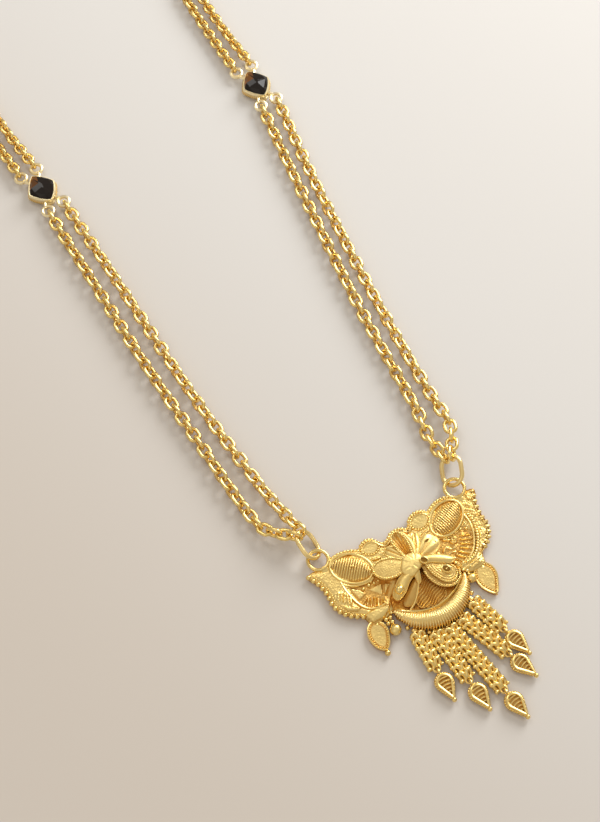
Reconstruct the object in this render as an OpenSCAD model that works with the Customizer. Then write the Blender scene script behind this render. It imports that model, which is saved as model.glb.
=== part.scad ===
// Two-strand gold necklace with two black stone stations and a fringed pendant, laid flat.
// Millimetres. +Z is up, the necklace rests on z = 0, +Y runs from the pendant to the clasp.
// The origin is under the middle of the whole loop.

/* [Pendant] */
// Distance between the two ear loops, centre to centre
ear_span = 29.4; // [29:0.1:30]
// Thickness of the pendant's base plate
plate_t = 0.9; // [0.7:0.1:1.1]
// Height of the flower above the surface
flower_h = 4.4; // [3.8:0.1:5]
// Width of the crescent at its belly
crescent_w = 4; // [3.4:0.1:4]
// Number of ribs across the crescent
crescent_ribs = 18; // [12:2:24]
// Radius of the edge beads
bead_r = 0.4; // [0.3:0.05:0.45]

/* [Tassels] */
// Wire radius of the tassels' small rings
tassel_wire_r = 0.2; // [0.18:0.01:0.21]
// Mean radius of the tassels' small rings
tassel_ring_r = 0.6; // [0.57:0.01:0.62]
// Length of a tassel's drop
drop_len = 4.6; // [4:0.1:5]
// Width of a tassel's drop
drop_w = 2.7; // [2.2:0.1:2.8]

/* [Chains] */
// Outer length of a front link
link_len = 3.2; // [3.15:0.01:3.25]
// Outer width of a front link
link_w = 2.6; // [2.5:0.05:2.7]
// Wire radius of a front link
link_wire_r = 0.25; // [0.23:0.01:0.26]
// Outer diameter of the finer chains behind the stones
back_chain_d = 2.1; // [1.8:0.1:2.2]

/* [Stones] */
// Length of a stone along the chain
stone_len = 6.2; // [5.8:0.1:6.4]
// Width of a stone across the chain
stone_w = 4.9; // [4.6:0.1:5.1]
// Height of a stone's table above the surface
stone_top = 3.3; // [3.1:0.1:3.6]

/* [Hidden] */

gold = [0.87, 0.71, 0.34];
black = [0.08, 0.06, 0.05];

// Pendant, measured from the middle between its ear loops
ear_mean_r = 1.9;
ear_wire_r = 0.3;
ear_z = 1.3;
// Half outline of a wing, from the ear round the beaded edge to the leaf
wing = [
    [0, -3], [8, -1.2], [13, -1.9], [16.6, -1.3], [18, -2], [16.9, -4.2], [16.5, -6.6],
    [16.6, -8.8], [15.9, -10.6], [14.6, -12.1], [12.7, -13.3], [11.9, -15.5], [9, -15.5], [0, -16]
];
// Path of the beads along the outer edge
bead_path = [
    [18.1, -2.1], [17.1, -4.3], [16.7, -6.7], [16.8, -8.9], [16.1, -10.8], [14.8, -12.3], [13, -13.4]
];
bead_gap = 0.95;
// Wire that borders each wing's inner field
field_wire = [[13.2, -5.6], [13.4, -7.6], [12.7, -10.1], [10.6, -12.6], [8, -13.5]];
oval_at = [10.2, -4.4];
oval_turn = 40;
oval_a = 3.8;
oval_b = 2.6;
oval_rim = 0.5;
plate_margin = 0.12;
oval_ribs = 9;
small_oval_at = [5.3, -2.7];
small_oval_r = 1.9;
crest_at = [0.4, -3.6];
crest_r = 1.9;
flower_at = [-0.3, -9.5];
// Each petal: direction in degrees, length, half width and height above the surface at its tip
petals = [
    [92, 6.4, 1.5, 2.6], [56, 5.6, 0.7, 2.2], [23, 5.6, 1, 2], [-42, 7.6, 2, 2],
    [-112, 4.2, 0.6, 1.9], [-142, 6, 1.1, 2.6], [160, 6.6, 1.6, 2], [126, 5.2, 0.7, 2.1]
];
crescent_at = [0, -12.1];
crescent_r = 8.06;
crescent_half_turn = 68;
crescent_z = 1.3;
crescent_rise = 1.6;
leaf_at = [11.5, -18];
leaf_len = 5.8;
leaf_w = 3.4;
// Side balls: x, y and radius
side_balls = [[-8.8, -18.1, 0.95], [8.4, -16.6, 0.8]];

// Each tassel: x and y of its loop on the pendant, lean in degrees and number of ring rows
tassels = [
    [-5.9, -20.9, -1.5, 4], [-2.9, -22.5, 4.5, 6], [-0.1, -22.8, 10, 9],
    [3, -22.4, 21, 6], [6.3, -20.7, 16, 4]
];
tassel_z = 0.9;
hang_loop_r = 0.65;
hang_wire_r = 0.2;
// Distances along a tassel from its loop on the pendant
tassel_first = 0.65;
row_step = 1.45;
row_start = 1.62;
ring_tilt = 28;
row_half = 0.5;
stand_r = 0.55;
drop_tip = 0.3;
drop_ball_r = 0.42;

// Jump rings: long rings that join the ear loops to the strands' first links
jump_len = 6.4;
jump_w = 5;
jump_wire_r = 0.35;
jump_reach = 0.6;
jump_pitch = 13;
jump_tilt = 40;
// Outward lean of the left and right jump ring in degrees
jump_lean = [5, 22];

// Settings: centre, yaw in degrees
settings = [[-25.2, 98.4, 9], [26.3, 100.4, 3]];
setting_wall = 0.5;
setting_h = 2.5;
loop_at = [1.9, 5.1];
loop_mean_r = 0.9;
loop_wire_r = 0.22;
loop_z = 1.32;

// Front strands: side, -1 left or 1 right, place across the setting, -1 or 1, fan angle on the
// jump ring, and the middle of the route from the jump ring to the setting
chain_z = 1.32;
front_strands = [
    [-1, -1, 42, [[-20.4, 9.6, 1.9], [-21.6, 14, 1.4], [-22.4, 22, chain_z], [-23.2, 33, chain_z],
        [-24.1, 44, chain_z], [-24.8, 55, chain_z], [-25.2, 66, chain_z], [-25.7, 77, chain_z],
        [-26.1, 86, chain_z]]],
    [-1, 1, -12, [[-15.8, 11, 1.5], [-16.9, 17, chain_z], [-17.9, 25, chain_z],
        [-19, 35, chain_z], [-19.8, 45, chain_z], [-20.4, 56, chain_z], [-21, 67, chain_z],
        [-21.6, 78, chain_z], [-22.2, 87, chain_z]]],
    [1, -1, -34, [[15.9, 11.5, 1.4], [16.9, 18, chain_z], [17.5, 28, chain_z],
        [18.1, 38, chain_z], [19, 48, chain_z], [20.2, 59, chain_z], [21.5, 70, chain_z],
        [22.8, 81, chain_z], [24, 89.5, chain_z]]],
    [1, 1, 14, [[20.6, 11.5, 1.9], [20.9, 18, 1.4], [21.3, 28, chain_z], [22, 39, chain_z],
        [22.9, 50, chain_z], [24, 61, chain_z], [25.2, 72, chain_z], [26.7, 83, chain_z],
        [27.9, 90.5, chain_z]]]
];

// Back strands: middle line of each side from the setting round to the clasp
back_left = [
    [-26.2, 104.85], [-27.2, 114], [-28, 124], [-29.4, 136], [-31.6, 148], [-34.4, 160],
    [-37.6, 172], [-40.8, 184], [-43.4, 196], [-44.9, 208], [-44.1, 219], [-40.9, 229],
    [-35.6, 237.5], [-28.6, 244.7], [-20.2, 250.2], [-13.6, 252.9], [-7.35, 254.4]
];
back_right = [
    [25.95, 106.95], [25.6, 117], [25.6, 128], [27, 140], [29.8, 152], [33.2, 164],
    [36.9, 175], [40.4, 186], [43.3, 197], [44.9, 208], [44.1, 219], [40.9, 229],
    [35.6, 237.5], [28.6, 244.7], [20.2, 250.2], [13.6, 252.9], [7.35, 254.4]
];
back_half_gap = 1.65;
back_end_half_gap = 1.2;
tube_sides = 8;

// Clasp: an S hook that lies flat and passes through two standing rings
end_ring_at = [5.03, 254.6];
end_ring_r = 1.6;
end_ring_wire_r = 0.35;
hook_r = 2.2;
hook_wire_r = 0.45;

// Reach of the whole loop in the pendant's frame, which puts the origin under its middle
function tassel_end(i) = row_start + (tassels[i][3] - 1) * row_step + 1;
longest = 2;
longest_reach = tassel_end(longest) + tassel_first + stand_r + drop_len + drop_tip;
reach_front = tassels[longest][1] - longest_reach * cos(tassels[longest][2]) - drop_ball_r;
reach_back = end_ring_at[1] + hook_r + hook_wire_r;
mid_y = (reach_front + reach_back) / 2;

// A point turned about X, Y or Z
function turn_x(p, a) = [p[0], p[1] * cos(a) - p[2] * sin(a), p[1] * sin(a) + p[2] * cos(a)];
function turn_y(p, a) = [p[0] * cos(a) + p[2] * sin(a), p[1], p[2] * cos(a) - p[0] * sin(a)];
function turn_z(p, a) = [p[0] * cos(a) - p[1] * sin(a), p[0] * sin(a) + p[1] * cos(a), p[2]];
function unit(v) = v / norm(v);

// Mean radius of a jump ring's round ends, and the middle of its straight part
jump_mean_r = jump_w / 2 - jump_wire_r;
jump_mid_y = jump_reach + jump_len / 2 - jump_wire_r;
// A point of a jump ring's own plane, placed at the ear loop of its side
function on_jump(side, p) =
    let (tilted = turn_y(p, -side * jump_tilt))
    let (pitched = turn_x(tilted + [0, jump_mid_y - jump_reach, 0], jump_pitch))
    let (leaned = turn_z(pitched + [0, jump_reach, ear_z], -side * jump_lean[(side + 1) / 2]))
    leaned + [side * ear_span / 2, 0, 0];
// A point of a setting, placed at its side
function on_setting(side, p) =
    let (s = settings[(side + 1) / 2])
    turn_z(p, s[2]) + [s[0], s[1], 0];

// Clear distance between interlocked wires
wire_gap = 0.14;
link_pitch = link_len - 4 * link_wire_r - wire_gap;
link_inner = link_len / 2 - 2 * link_wire_r;
// The part of a vector that is square to a unit vector
function square_to(v, axis) = unit(v - axis * (v * axis));
// Point on a jump ring's wire at a fan angle, and the direction of the wire there
function jump_wire(side, fan) =
    on_jump(side, [
        side * jump_mean_r * sin(fan), (jump_len - jump_w) / 2 + jump_mean_r * cos(fan), 0]);
function jump_along(side, fan) = unit(jump_wire(side, fan + 1) - jump_wire(side, fan - 1)) * side;
// Direction and centre of the link that holds the jump ring, on its way to the next point
function ring_link_way(strand) = unit(strand[3][0] - jump_wire(strand[0], strand[2]));
function ring_link(strand) =
    jump_wire(strand[0], strand[2])
    + ring_link_way(strand) * (link_inner - jump_wire_r - 2 * wire_gap);
// Centre of the link that holds a setting's loop, coming from the point before it
function loop_link(strand) =
    let (loop = on_setting(strand[0], [strand[1] * loop_at[0], -loop_at[1], chain_z]))
    let (before = strand[3][len(strand[3]) - 1])
    loop - unit(loop - before) * (loop_mean_r + link_inner - loop_wire_r - wire_gap);

// Round-shouldered curve through points, with a few steps in each span
function curve_point(a, b, c, d, t) =
    0.5 * (2 * b + (c - a) * t + (2 * a - 5 * b + 4 * c - d) * t * t
        + (3 * b - a - 3 * c + d) * t * t * t);
function curved(p, steps) = [
    for (i = [0 : len(p) - 2], k = [0 : steps - 1])
        curve_point(p[max(i - 1, 0)], p[i], p[i + 1], p[min(i + 2, len(p) - 1)], k / steps),
    p[len(p) - 1]
];
// Running length at each point, and the place and direction at a length along the points
function running(p, i = 0, s = 0) =
    i == len(p) - 1 ? [s] : concat([s], running(p, i + 1, s + norm(p[i + 1] - p[i])));
function walk(p, run, s, i = 0) =
    i == len(p) - 2 || run[i + 1] >= s
        ? [p[i] + unit(p[i + 1] - p[i]) * (s - run[i]), unit(p[i + 1] - p[i])]
        : walk(p, run, s, i + 1);

function front_route(strand) =
    curved(concat([ring_link(strand)], strand[3], [loop_link(strand)]), 8);

// Middle line of a back strand, set off to one side and drawn together at the clasp
function normal_2d(p, i) =
    let (a = p[max(i - 1, 0)], b = p[min(i + 1, len(p) - 1)])
    let (d = unit(b - a)) [-d[1], d[0]];
function back_route(line, off) = [
    for (i = [0 : len(line) - 1])
        let (gap = i == len(line) - 1 ? back_end_half_gap : back_half_gap)
        let (q = line[i] + normal_2d(line, i) * off * gap) [q[0], q[1], back_chain_d / 2 + 0.05]
];

// Rounded rhombus outline by a formula
rhombus_power = 1.45;
function sgn_pow(v, p) = sign(v) * pow(abs(v), p);
function rhombus(a, b, n) = [
    for (i = [0 : n - 1])
        let (t = 360 * i / n)
        [a * sgn_pow(cos(t), 2 / rhombus_power), b * sgn_pow(sin(t), 2 / rhombus_power)]
];
// Closed solid through level outlines: each section holds half width, half length and height
module loft(sections, n) {
    points = [for (s = sections, q = rhombus(s[0], s[1], n)) [q[0], q[1], s[2]]];
    last = len(sections) - 1;
    faces = concat(
        [[for (i = [0 : n - 1]) i]],
        [for (k = [0 : last - 1], i = [0 : n - 1])
            [k * n + i, (k + 1) * n + i, (k + 1) * n + (i + 1) % n, k * n + (i + 1) % n]],
        [[for (i = [n - 1 : -1 : 0]) last * n + i]]);
    polyhedron(points, faces, convexity = 6);
}

// Closed tube along points in space, upright at each ring
module tube(p, r, sides) {
    rings = [
        for (i = [0 : len(p) - 1])
            let (d = unit(p[min(i + 1, len(p) - 1)] - p[max(i - 1, 0)]))
            let (side = unit(cross(d, [0, 0, 1])))
            let (up = cross(side, d))
            for (k = [0 : sides - 1])
                p[i] + side * r * cos(360 * (k + 0.5) / sides) + up * r * sin(360 * (k + 0.5) / sides)
    ];
    last = len(p) - 1;
    faces = concat(
        [[for (k = [sides - 1 : -1 : 0]) k]],
        [for (i = [0 : last - 1], k = [0 : sides - 1])
            [i * sides + k, i * sides + (k + 1) % sides,
                (i + 1) * sides + (k + 1) % sides, (i + 1) * sides + k]],
        [[for (k = [0 : sides - 1]) last * sides + k]]);
    polyhedron(rings, faces, convexity = 6);
}

// Everything below is drawn in the pendant's frame and moved so that the origin is centred
module placed() {
    translate([0, -mid_y, 0]) children();
}

// Oval wire link that lies flat with its length along Y
module oval_link(length, width, r) {
    mean_r = width / 2 - r;
    straight = length - width;
    for (s = [0, 180])
        rotate([0, 0, s])
            translate([0, straight / 2, 0])
                rotate_extrude(angle = 180, $fn = 24) translate([mean_r, 0]) circle(r, $fn = 16);
    for (x = [-mean_r, mean_r])
        translate([x, straight / 2, 0])
            rotate([90, 0, 0]) cylinder(r = r, h = straight, $fn = 16);
}

// Places a piece drawn along Y at a point, along a direction, with its own Z towards up
module aim(at, direction, up) {
    z = square_to(up, direction);
    x = cross(direction, z);
    multmatrix([for (i = [0 : 2]) [x[i], direction[i], z[i], at[i]]]) children();
}

module ring(mean_r, wire_r, round_fn, wire_fn) {
    rotate_extrude($fn = round_fn) translate([mean_r, 0]) circle(wire_r, $fn = wire_fn);
}

// Pendant
module wing_outline() {
    polygon(wing);
    translate(oval_at) rotate(oval_turn)
        scale([oval_a + oval_rim + plate_margin, oval_b + oval_rim + plate_margin]) circle(1, $fn = 28);
    translate(small_oval_at) circle(small_oval_r, $fn = 16);
}

module crescent_shape(half_w, z, rise) {
    rings = crescent_ribs * 2;
    sides = 8;
    points = [
        for (i = [0 : rings])
            let (t = 2 * i / rings - 1)
            let (a = t * crescent_half_turn - 90)
            let (full = 1 - pow(abs(t), 2.4))
            let (groove = i % 2 == 0 ? 0.94 : 1)
            for (k = [0 : sides - 1])
                let (w = (0.3 + (half_w - 0.3) * full) * groove * cos(360 * k / sides))
                let (h = (0.3 + (rise - 0.3) * full) * groove * sin(360 * k / sides))
                [(crescent_r + w) * cos(a), (crescent_r + w) * sin(a), max(z + h, 0.1)]
    ];
    faces = concat(
        [[for (k = [sides - 1 : -1 : 0]) k]],
        [for (i = [0 : rings - 1], k = [0 : sides - 1])
            [i * sides + k, i * sides + (k + 1) % sides,
                (i + 1) * sides + (k + 1) % sides, (i + 1) * sides + k]],
        [[for (k = [0 : sides - 1]) rings * sides + k]]);
    translate(crescent_at) polyhedron(points, faces, convexity = 8);
}

module plate_outline() {
    wing_outline();
    mirror([1, 0]) wing_outline();
    translate(crest_at) circle(crest_r, $fn = 16);
    // Land under the crescent
    translate(crescent_at) intersection() {
        circle(crescent_r + crescent_w / 2 - 0.2, $fn = 36);
        translate([-7.4, -12]) square([14.8, 12]);
    }
}

module ribbed_oval() {
    rib = 2 * oval_a / (2 * oval_ribs + 1);
    translate([oval_at[0], oval_at[1], plate_t - 0.1]) rotate([0, 0, oval_turn]) {
        // Raised border
        linear_extrude(0.5) scale([oval_a + oval_rim, oval_b + oval_rim]) circle(1, $fn = 24);
        // Each rib is a slice of a dome
        for (i = [0 : oval_ribs - 1])
            let (x = -oval_a + rib * (2 * i + 1.5))
            let (k = sqrt(1 - pow(x / oval_a, 2)))
            translate([x - rib / 2, 0, 0]) rotate([90, 0, 90]) linear_extrude(rib)
                scale([oval_b * k, 0.4 + 0.9 * k])
                    polygon([for (a = [0 : 22.5 : 180]) [cos(a), sin(a)]]);
    }
}

module petal(p) {
    tip = [p[1] * cos(p[0]), p[1] * sin(p[0]), p[3]];
    middle = [tip[0] * 0.62, tip[1] * 0.62, (p[3] + flower_h) / 2 - 0.4];
    hull() {
        translate([0, 0, flower_h - 0.9]) sphere(0.5, $fn = 6);
        translate(middle) rotate([0, 0, p[0]]) scale([1.1, p[2], 0.7]) sphere(1, $fn = 8);
        translate([tip[0], tip[1], p[3] - 0.35]) sphere(0.35, $fn = 6);
        translate([middle[0], middle[1], plate_t]) cylinder(r = p[2] * 0.6, h = 0.1, $fn = 6);
    }
}

module leaf() {
    half = leaf_w / 2;
    arc_r = (pow(leaf_len / 2, 2) + half * half) / (2 * half);
    module blade(inset, h) {
        linear_extrude(h) intersection() {
            translate([arc_r - half, 0]) circle(arc_r - inset, $fn = 24);
            translate([half - arc_r, 0]) circle(arc_r - inset, $fn = 24);
        }
    }
    difference() {
        blade(0, 1);
        translate([0, 0, 0.7]) blade(0.35, 1);
    }
    translate([0, 0, 0.6]) scale([1.2, 2.4, 0.7]) sphere(0.9, $fn = 10);
    // Stem and tip bead
    translate([0, leaf_len / 2, 0.55]) sphere(0.6, $fn = 6);
    translate([0, -leaf_len / 2 + 0.1, 0.5]) sphere(0.42, $fn = 6);
}

// Wire from point to point, as short round bars
module bar(a, b, r) {
    hull() {
        translate(a) sphere(r, $fn = 6);
        translate(b) sphere(r, $fn = 6);
    }
}

module wing_details() {
    ribbed_oval();
    translate([small_oval_at[0], small_oval_at[1], plate_t])
        scale([1.5, 1.2, 0.6]) sphere(1, $fn = 12);
    for (i = [0 : len(field_wire) - 2])
        bar(concat(field_wire[i], plate_t), concat(field_wire[i + 1], plate_t), 0.28);
    run = running(bead_path);
    count = floor(run[len(run) - 1] / bead_gap);
    for (i = [0 : count])
        translate(concat(walk(bead_path, run, i * bead_gap)[0], 0.5)) sphere(bead_r, $fn = 6);
    // Fan of ribs in the inner field
    for (a = [-100 : 20 : -20])
        bar([9 + 1.1 * cos(a), -10 + 0.9 * sin(a), plate_t],
            [9 + 2.9 * cos(a), -10 + 2.2 * sin(a), plate_t], 0.22);
    translate([leaf_at[0], leaf_at[1], 0]) leaf();
}

module ear_loop() {
    translate([ear_span / 2, 0, ear_z]) ring(ear_mean_r, ear_wire_r, 20, 6);
    translate([ear_span / 2 - 0.2, -ear_mean_r - 0.3, 0]) cylinder(r = 0.8, h = ear_z + 0.15, $fn = 10);
}

module pendant_plate() {
    color(gold) placed() {
        linear_extrude(plate_t) plate_outline();
        for (m = [0, 1]) mirror([m, 0, 0]) {
            wing_details();
            ear_loop();
        }
        crescent_shape(crescent_w / 2, crescent_z, crescent_rise);
        translate([flower_at[0], flower_at[1], 0]) {
            for (p = petals) petal(p);
            translate([0, 0, flower_h - 0.7]) sphere(0.7, $fn = 10);
        }
        for (b = side_balls) {
            translate([b[0], b[1], b[2]]) sphere(b[2], $fn = 10);
            bar([b[0], b[1], 0.5], [b[0] * 0.98, b[1] + 3, 0.5], 0.35);
        }
        for (t = tassels)
            translate([t[0], t[1], tassel_z]) ring(hang_loop_r, hang_wire_r, 10, 5);
        // Solder under the tassels' loops
        for (t = tassels)
            bar([t[0], t[1] + hang_loop_r, tassel_z - 0.2],
                [t[0] * 0.9, t[1] + 1.4, tassel_z - 0.2], 0.3);
    }
}

// Tassels, drawn along -Y from their loop on the pendant
module on_tassel(i) {
    t = tassels[i];
    placed() translate([t[0], t[1], tassel_z]) rotate([0, 0, t[2]]) children();
}

module standing_ring() {
    rotate([0, 90, 0]) ring(stand_r, tassel_wire_r - 0.02, 10, 5);
}

module tassel_chain(i) {
    rows = tassels[i][3];
    color(gold) on_tassel(i) {
        translate([0, -tassel_first, 0]) standing_ring();
        for (k = [0 : rows - 1], s = [-1, 1])
            translate([s * row_half, -row_start - k * row_step, 0])
                rotate([0, s * ring_tilt, 0]) ring(tassel_ring_r, tassel_wire_r, 9, 4);
        // Thread that the rows are woven on
        translate([0, -row_start - (rows - 1) * row_step / 2, 0])
            cube([0.5, (rows - 1) * row_step + 0.8, 0.4], center = true);
        translate([0, -tassel_end(i), 0]) ring(hang_loop_r, hang_wire_r, 10, 5);
    }
}

module drop_outline(inset) {
    hull() {
        circle(drop_w / 2 - inset, $fn = 20);
        translate([0, -drop_len + drop_w / 2 + 0.3]) circle(max(0.3 - inset / 2, 0.05), $fn = 8);
    }
}

module tassel_drop(i) {
    color(gold) on_tassel(i)
        translate([0, -tassel_end(i) - tassel_first, 0]) {
            standing_ring();
            translate([0, -stand_r - drop_w / 2, 0.45 - tassel_z]) {
                linear_extrude(0.5) drop_outline(0);
                difference() {
                    linear_extrude(0.95) drop_outline(0);
                    translate([0, 0, 0.4]) linear_extrude(1) drop_outline(0.4);
                }
                for (k = [0 : 3])
                    translate([-drop_w / 2 + 0.35, 0.5 - k * 0.75, 0])
                        cube([drop_w - 0.7 - max(k - 1, 0) * 0.45, 0.3, 0.75]);
                translate([0, -drop_len + drop_w / 2 - drop_tip, 0.35])
                    sphere(drop_ball_r, $fn = 8);
            }
        }
}

// Jump rings and front strands
module jump_ring(side) {
    color(gold) placed()
        translate([side * ear_span / 2, 0, 0])
            rotate([0, 0, -side * jump_lean[(side + 1) / 2]])
                translate([0, jump_reach, ear_z])
                    rotate([jump_pitch, 0, 0])
                        translate([0, jump_mid_y - jump_reach, 0])
                            rotate([0, -side * jump_tilt, 0])
                                oval_link(jump_len, jump_w, jump_wire_r);
}

module front_chain(i) {
    strand = front_strands[i];
    route = front_route(strand);
    run = running(route);
    length = run[len(run) - 1];
    // An odd number of links, so that the first and the last stand on edge
    links = 2 * ceil(length / link_pitch / 2) + 1;
    // The chain's twist from the jump ring dies out over the first links
    turn_in = 8;
    first_up = cross(jump_along(strand[0], strand[2]), ring_link_way(strand));
    color(gold) placed()
        for (k = [0 : links - 1])
            let (here = walk(route, run, length * k / (links - 1)))
            let (f = min(1, k / turn_in))
            let (up = unit(first_up * (1 - f) + [0, 0, f]))
            aim(here[0], here[1], k % 2 == 1 ? up : cross(here[1], up))
                oval_link(link_len, link_w, link_wire_r);
}

// Settings and stones
module at_setting(side) {
    s = settings[(side + 1) / 2];
    placed() translate([s[0], s[1], 0]) rotate([0, 0, s[2]]) children();
}

module setting(side) {
    a = stone_w / 2;
    b = stone_len / 2;
    w = setting_wall;
    color(gold) at_setting(side) {
        loft([
            [a * 0.8, b * 0.8, 0], [a + w * 0.7, b + w * 0.7, 0.7], [a + w, b + w, setting_h - 0.2],
            [a + w * 0.7, b + w * 0.7, setting_h], [a - 0.05, b - 0.05, setting_h],
            [a + 0.12, b + 0.12, setting_h - 0.5], [a + 0.12, b + 0.12, 1.6],
            [a * 0.5, b * 0.5, 0.6]
        ], 16);
        for (x = [-1, 1], y = [-1, 1])
            translate([x * loop_at[0], y * loop_at[1], loop_z])
                ring(loop_mean_r, loop_wire_r, 12, 5);
        for (x = [-1, 1], y = [-1, 1])
            bar([x * loop_at[0], y * (loop_at[1] - loop_mean_r), loop_z],
                [x * 1.3, y * 2.9, loop_z], 0.3);
    }
}

module stone(side) {
    a = stone_w / 2;
    b = stone_len / 2;
    girdle = setting_h - 0.6;
    color(black) at_setting(side)
        loft([
            [a * 0.2, b * 0.2, 0.95], [a * 0.75, b * 0.75, 1.5], [a, b, girdle - 0.15], [a, b, girdle],
            [a * 0.78, b * 0.78, stone_top - 0.45], [a * 0.5, b * 0.5, stone_top]
        ], 8);
}

// Finer chains behind the stones
module back_chain(line, off) {
    color(gold) placed() tube(back_route(line, off), back_chain_d / 2, tube_sides);
}

// Clasp
module end_ring(side) {
    color(gold) placed()
        translate([side * end_ring_at[0], end_ring_at[1], end_ring_r + end_ring_wire_r])
            rotate([90, 0, 0]) ring(end_ring_r, end_ring_wire_r, 32, 16);
}

module hook_half() {
    translate([hook_r, 0, 0])
        rotate([0, 0, 180])
            rotate_extrude(angle = -230, $fn = 32) translate([hook_r, 0]) circle(hook_wire_r, $fn = 16);
}

module tassel_chain_1() { tassel_chain(0); }
module tassel_chain_2() { tassel_chain(1); }
module tassel_chain_3() { tassel_chain(2); }
module tassel_chain_4() { tassel_chain(3); }
module tassel_chain_5() { tassel_chain(4); }
module tassel_drop_1() { tassel_drop(0); }
module tassel_drop_2() { tassel_drop(1); }
module tassel_drop_3() { tassel_drop(2); }
module tassel_drop_4() { tassel_drop(3); }
module tassel_drop_5() { tassel_drop(4); }
module jump_ring_left() { jump_ring(-1); }
module jump_ring_right() { jump_ring(1); }
module front_chain_left_outer() { front_chain(0); }
module front_chain_left_inner() { front_chain(1); }
module front_chain_right_inner() { front_chain(2); }
module front_chain_right_outer() { front_chain(3); }
module setting_left() { setting(-1); }
module setting_right() { setting(1); }
module stone_left() { stone(-1); }
module stone_right() { stone(1); }
module back_chain_left_outer() { back_chain(back_left, 1); }
module back_chain_left_inner() { back_chain(back_left, -1); }
module back_chain_right_inner() { back_chain(back_right, 1); }
module back_chain_right_outer() { back_chain(back_right, -1); }
module end_ring_left() { end_ring(-1); }
module end_ring_right() { end_ring(1); }

module clasp_hook() {
    color(gold) placed()
        translate([0, end_ring_at[1], end_ring_r + end_ring_wire_r])
            for (s = [0, 180]) rotate([0, 0, s]) hook_half();
}

pendant_plate();
tassel_chain_1();
tassel_chain_2();
tassel_chain_3();
tassel_chain_4();
tassel_chain_5();
tassel_drop_1();
tassel_drop_2();
tassel_drop_3();
tassel_drop_4();
tassel_drop_5();
jump_ring_left();
jump_ring_right();
front_chain_left_outer();
front_chain_left_inner();
front_chain_right_inner();
front_chain_right_outer();
setting_left();
setting_right();
stone_left();
stone_right();
back_chain_left_outer();
back_chain_left_inner();
back_chain_right_inner();
back_chain_right_outer();
end_ring_left();
end_ring_right();
clasp_hook();
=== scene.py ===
# Gold necklace laid flat: double strands of cable chain, two black stone stations and a crescent
# pendant with a flower and five tassels. The tables hold millimetres in the pendant's own frame:
# the ear loops are centred on the origin and +Y runs to the clasp. Pieces are made in metres.

import math

import bmesh
import bpy
import numpy as np
from bpy.props import FloatProperty, FloatVectorProperty, IntProperty, PointerProperty
from bpy.types import Operator, Panel, PropertyGroup
from mathutils import Matrix, Vector
from mathutils.geometry import delaunay_2d_cdt


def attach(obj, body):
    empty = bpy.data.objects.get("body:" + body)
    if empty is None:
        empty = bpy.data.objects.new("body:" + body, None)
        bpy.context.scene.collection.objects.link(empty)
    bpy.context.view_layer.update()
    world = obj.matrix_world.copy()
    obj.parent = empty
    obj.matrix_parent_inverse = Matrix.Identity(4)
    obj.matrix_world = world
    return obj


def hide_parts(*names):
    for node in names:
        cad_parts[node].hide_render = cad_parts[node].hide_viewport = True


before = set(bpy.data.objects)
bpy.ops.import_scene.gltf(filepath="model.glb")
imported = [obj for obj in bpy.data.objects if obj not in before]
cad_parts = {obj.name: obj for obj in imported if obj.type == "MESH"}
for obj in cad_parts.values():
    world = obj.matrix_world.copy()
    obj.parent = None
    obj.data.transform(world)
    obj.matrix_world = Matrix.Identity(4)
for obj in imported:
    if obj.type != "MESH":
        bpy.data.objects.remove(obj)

bl_info = {
    "name": "Gold necklace with crescent pendant",
    "version": (1, 0, 0),
    "blender": (4, 5, 0),
    "location": "View3D > Sidebar > Necklace",
    "description": "Dresses the packed necklace with links, relief, stones and finishes",
    "category": "Object",
}

MM = 0.001
MID_Y = 107.00935  # middle of the whole loop in the pendant's frame
TAU = 2 * math.pi

# ---- tables, in millimetres -------------------------------------------------------------------

EAR_SPAN, EAR_MEAN_R, EAR_WIRE_R, EAR_Z = 29.4, 1.9, 0.3, 1.3
PLATE_T, TOOTH_STEP = 0.9, 1.02
WING = [(0, -3), (8, -1.2), (13, -1.9), (16.6, -1.3), (18, -2), (16.9, -4.2), (16.5, -6.6),
        (16.6, -8.8), (15.9, -10.6), (14.6, -12.1), (12.7, -13.3), (11.9, -15.5), (9, -15.6),
        (7.2, -14.8), (6.4, -12.6), (3, -11), (0, -10.6)]
BEAD_PATH = [(18.1, -2.1), (17.1, -4.3), (16.7, -6.7), (16.8, -8.9), (16.1, -10.8), (14.8, -12.3),
             (13, -13.4)]
OVAL_AT, OVAL_B, OVAL_RIM = (10.2, -4.4), 2.6, 0.5
# Big ovals: turn, half length and direction of the ribs, for left and right
BIG_OVALS = {-1: (-40, 3.8, 50), 1: (28, 3.7, -72)}
SMALL_OVALS = {-1: (-5.2, -2.6, 1.75, 1.4, -10), 1: (5.5, -2.5, 2.0, 1.6, 12)}
CREST_AT = (0.4, -3.6)
CRESCENT_AT, CRESCENT_R, CRESCENT_HALF, CRESCENT_TURN = (0, -12.1), 8.06, 2.0, 68
CRESCENT_Z, CRESCENT_RISE = 1.3, 1.6
GRANULES = [(-9.5, -15.8, 0.42), (-8.6, -15.8, 0.4), (-9.5, -16.6, 0.4), (-8.7, -16.7, 0.42),
            (-8, -15.1, 0.36), (8.2, -15, 0.42), (7.6, -14.5, 0.4), (7.1, -12.7, 0.42),
            (-9, -8.7, 0.4), (-7.9, -8.8, 0.36), (-10.2, -8.8, 0.36), (-7, -8.7, 0.32),
            (12.6, -6.8, 0.3), (12.4, -7.9, 0.3), (11.4, -7.5, 0.3)]
SIDE_BALLS = [(-8.9, -18.2, 1.1), (8.3, -16.5, 0.95)]
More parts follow.
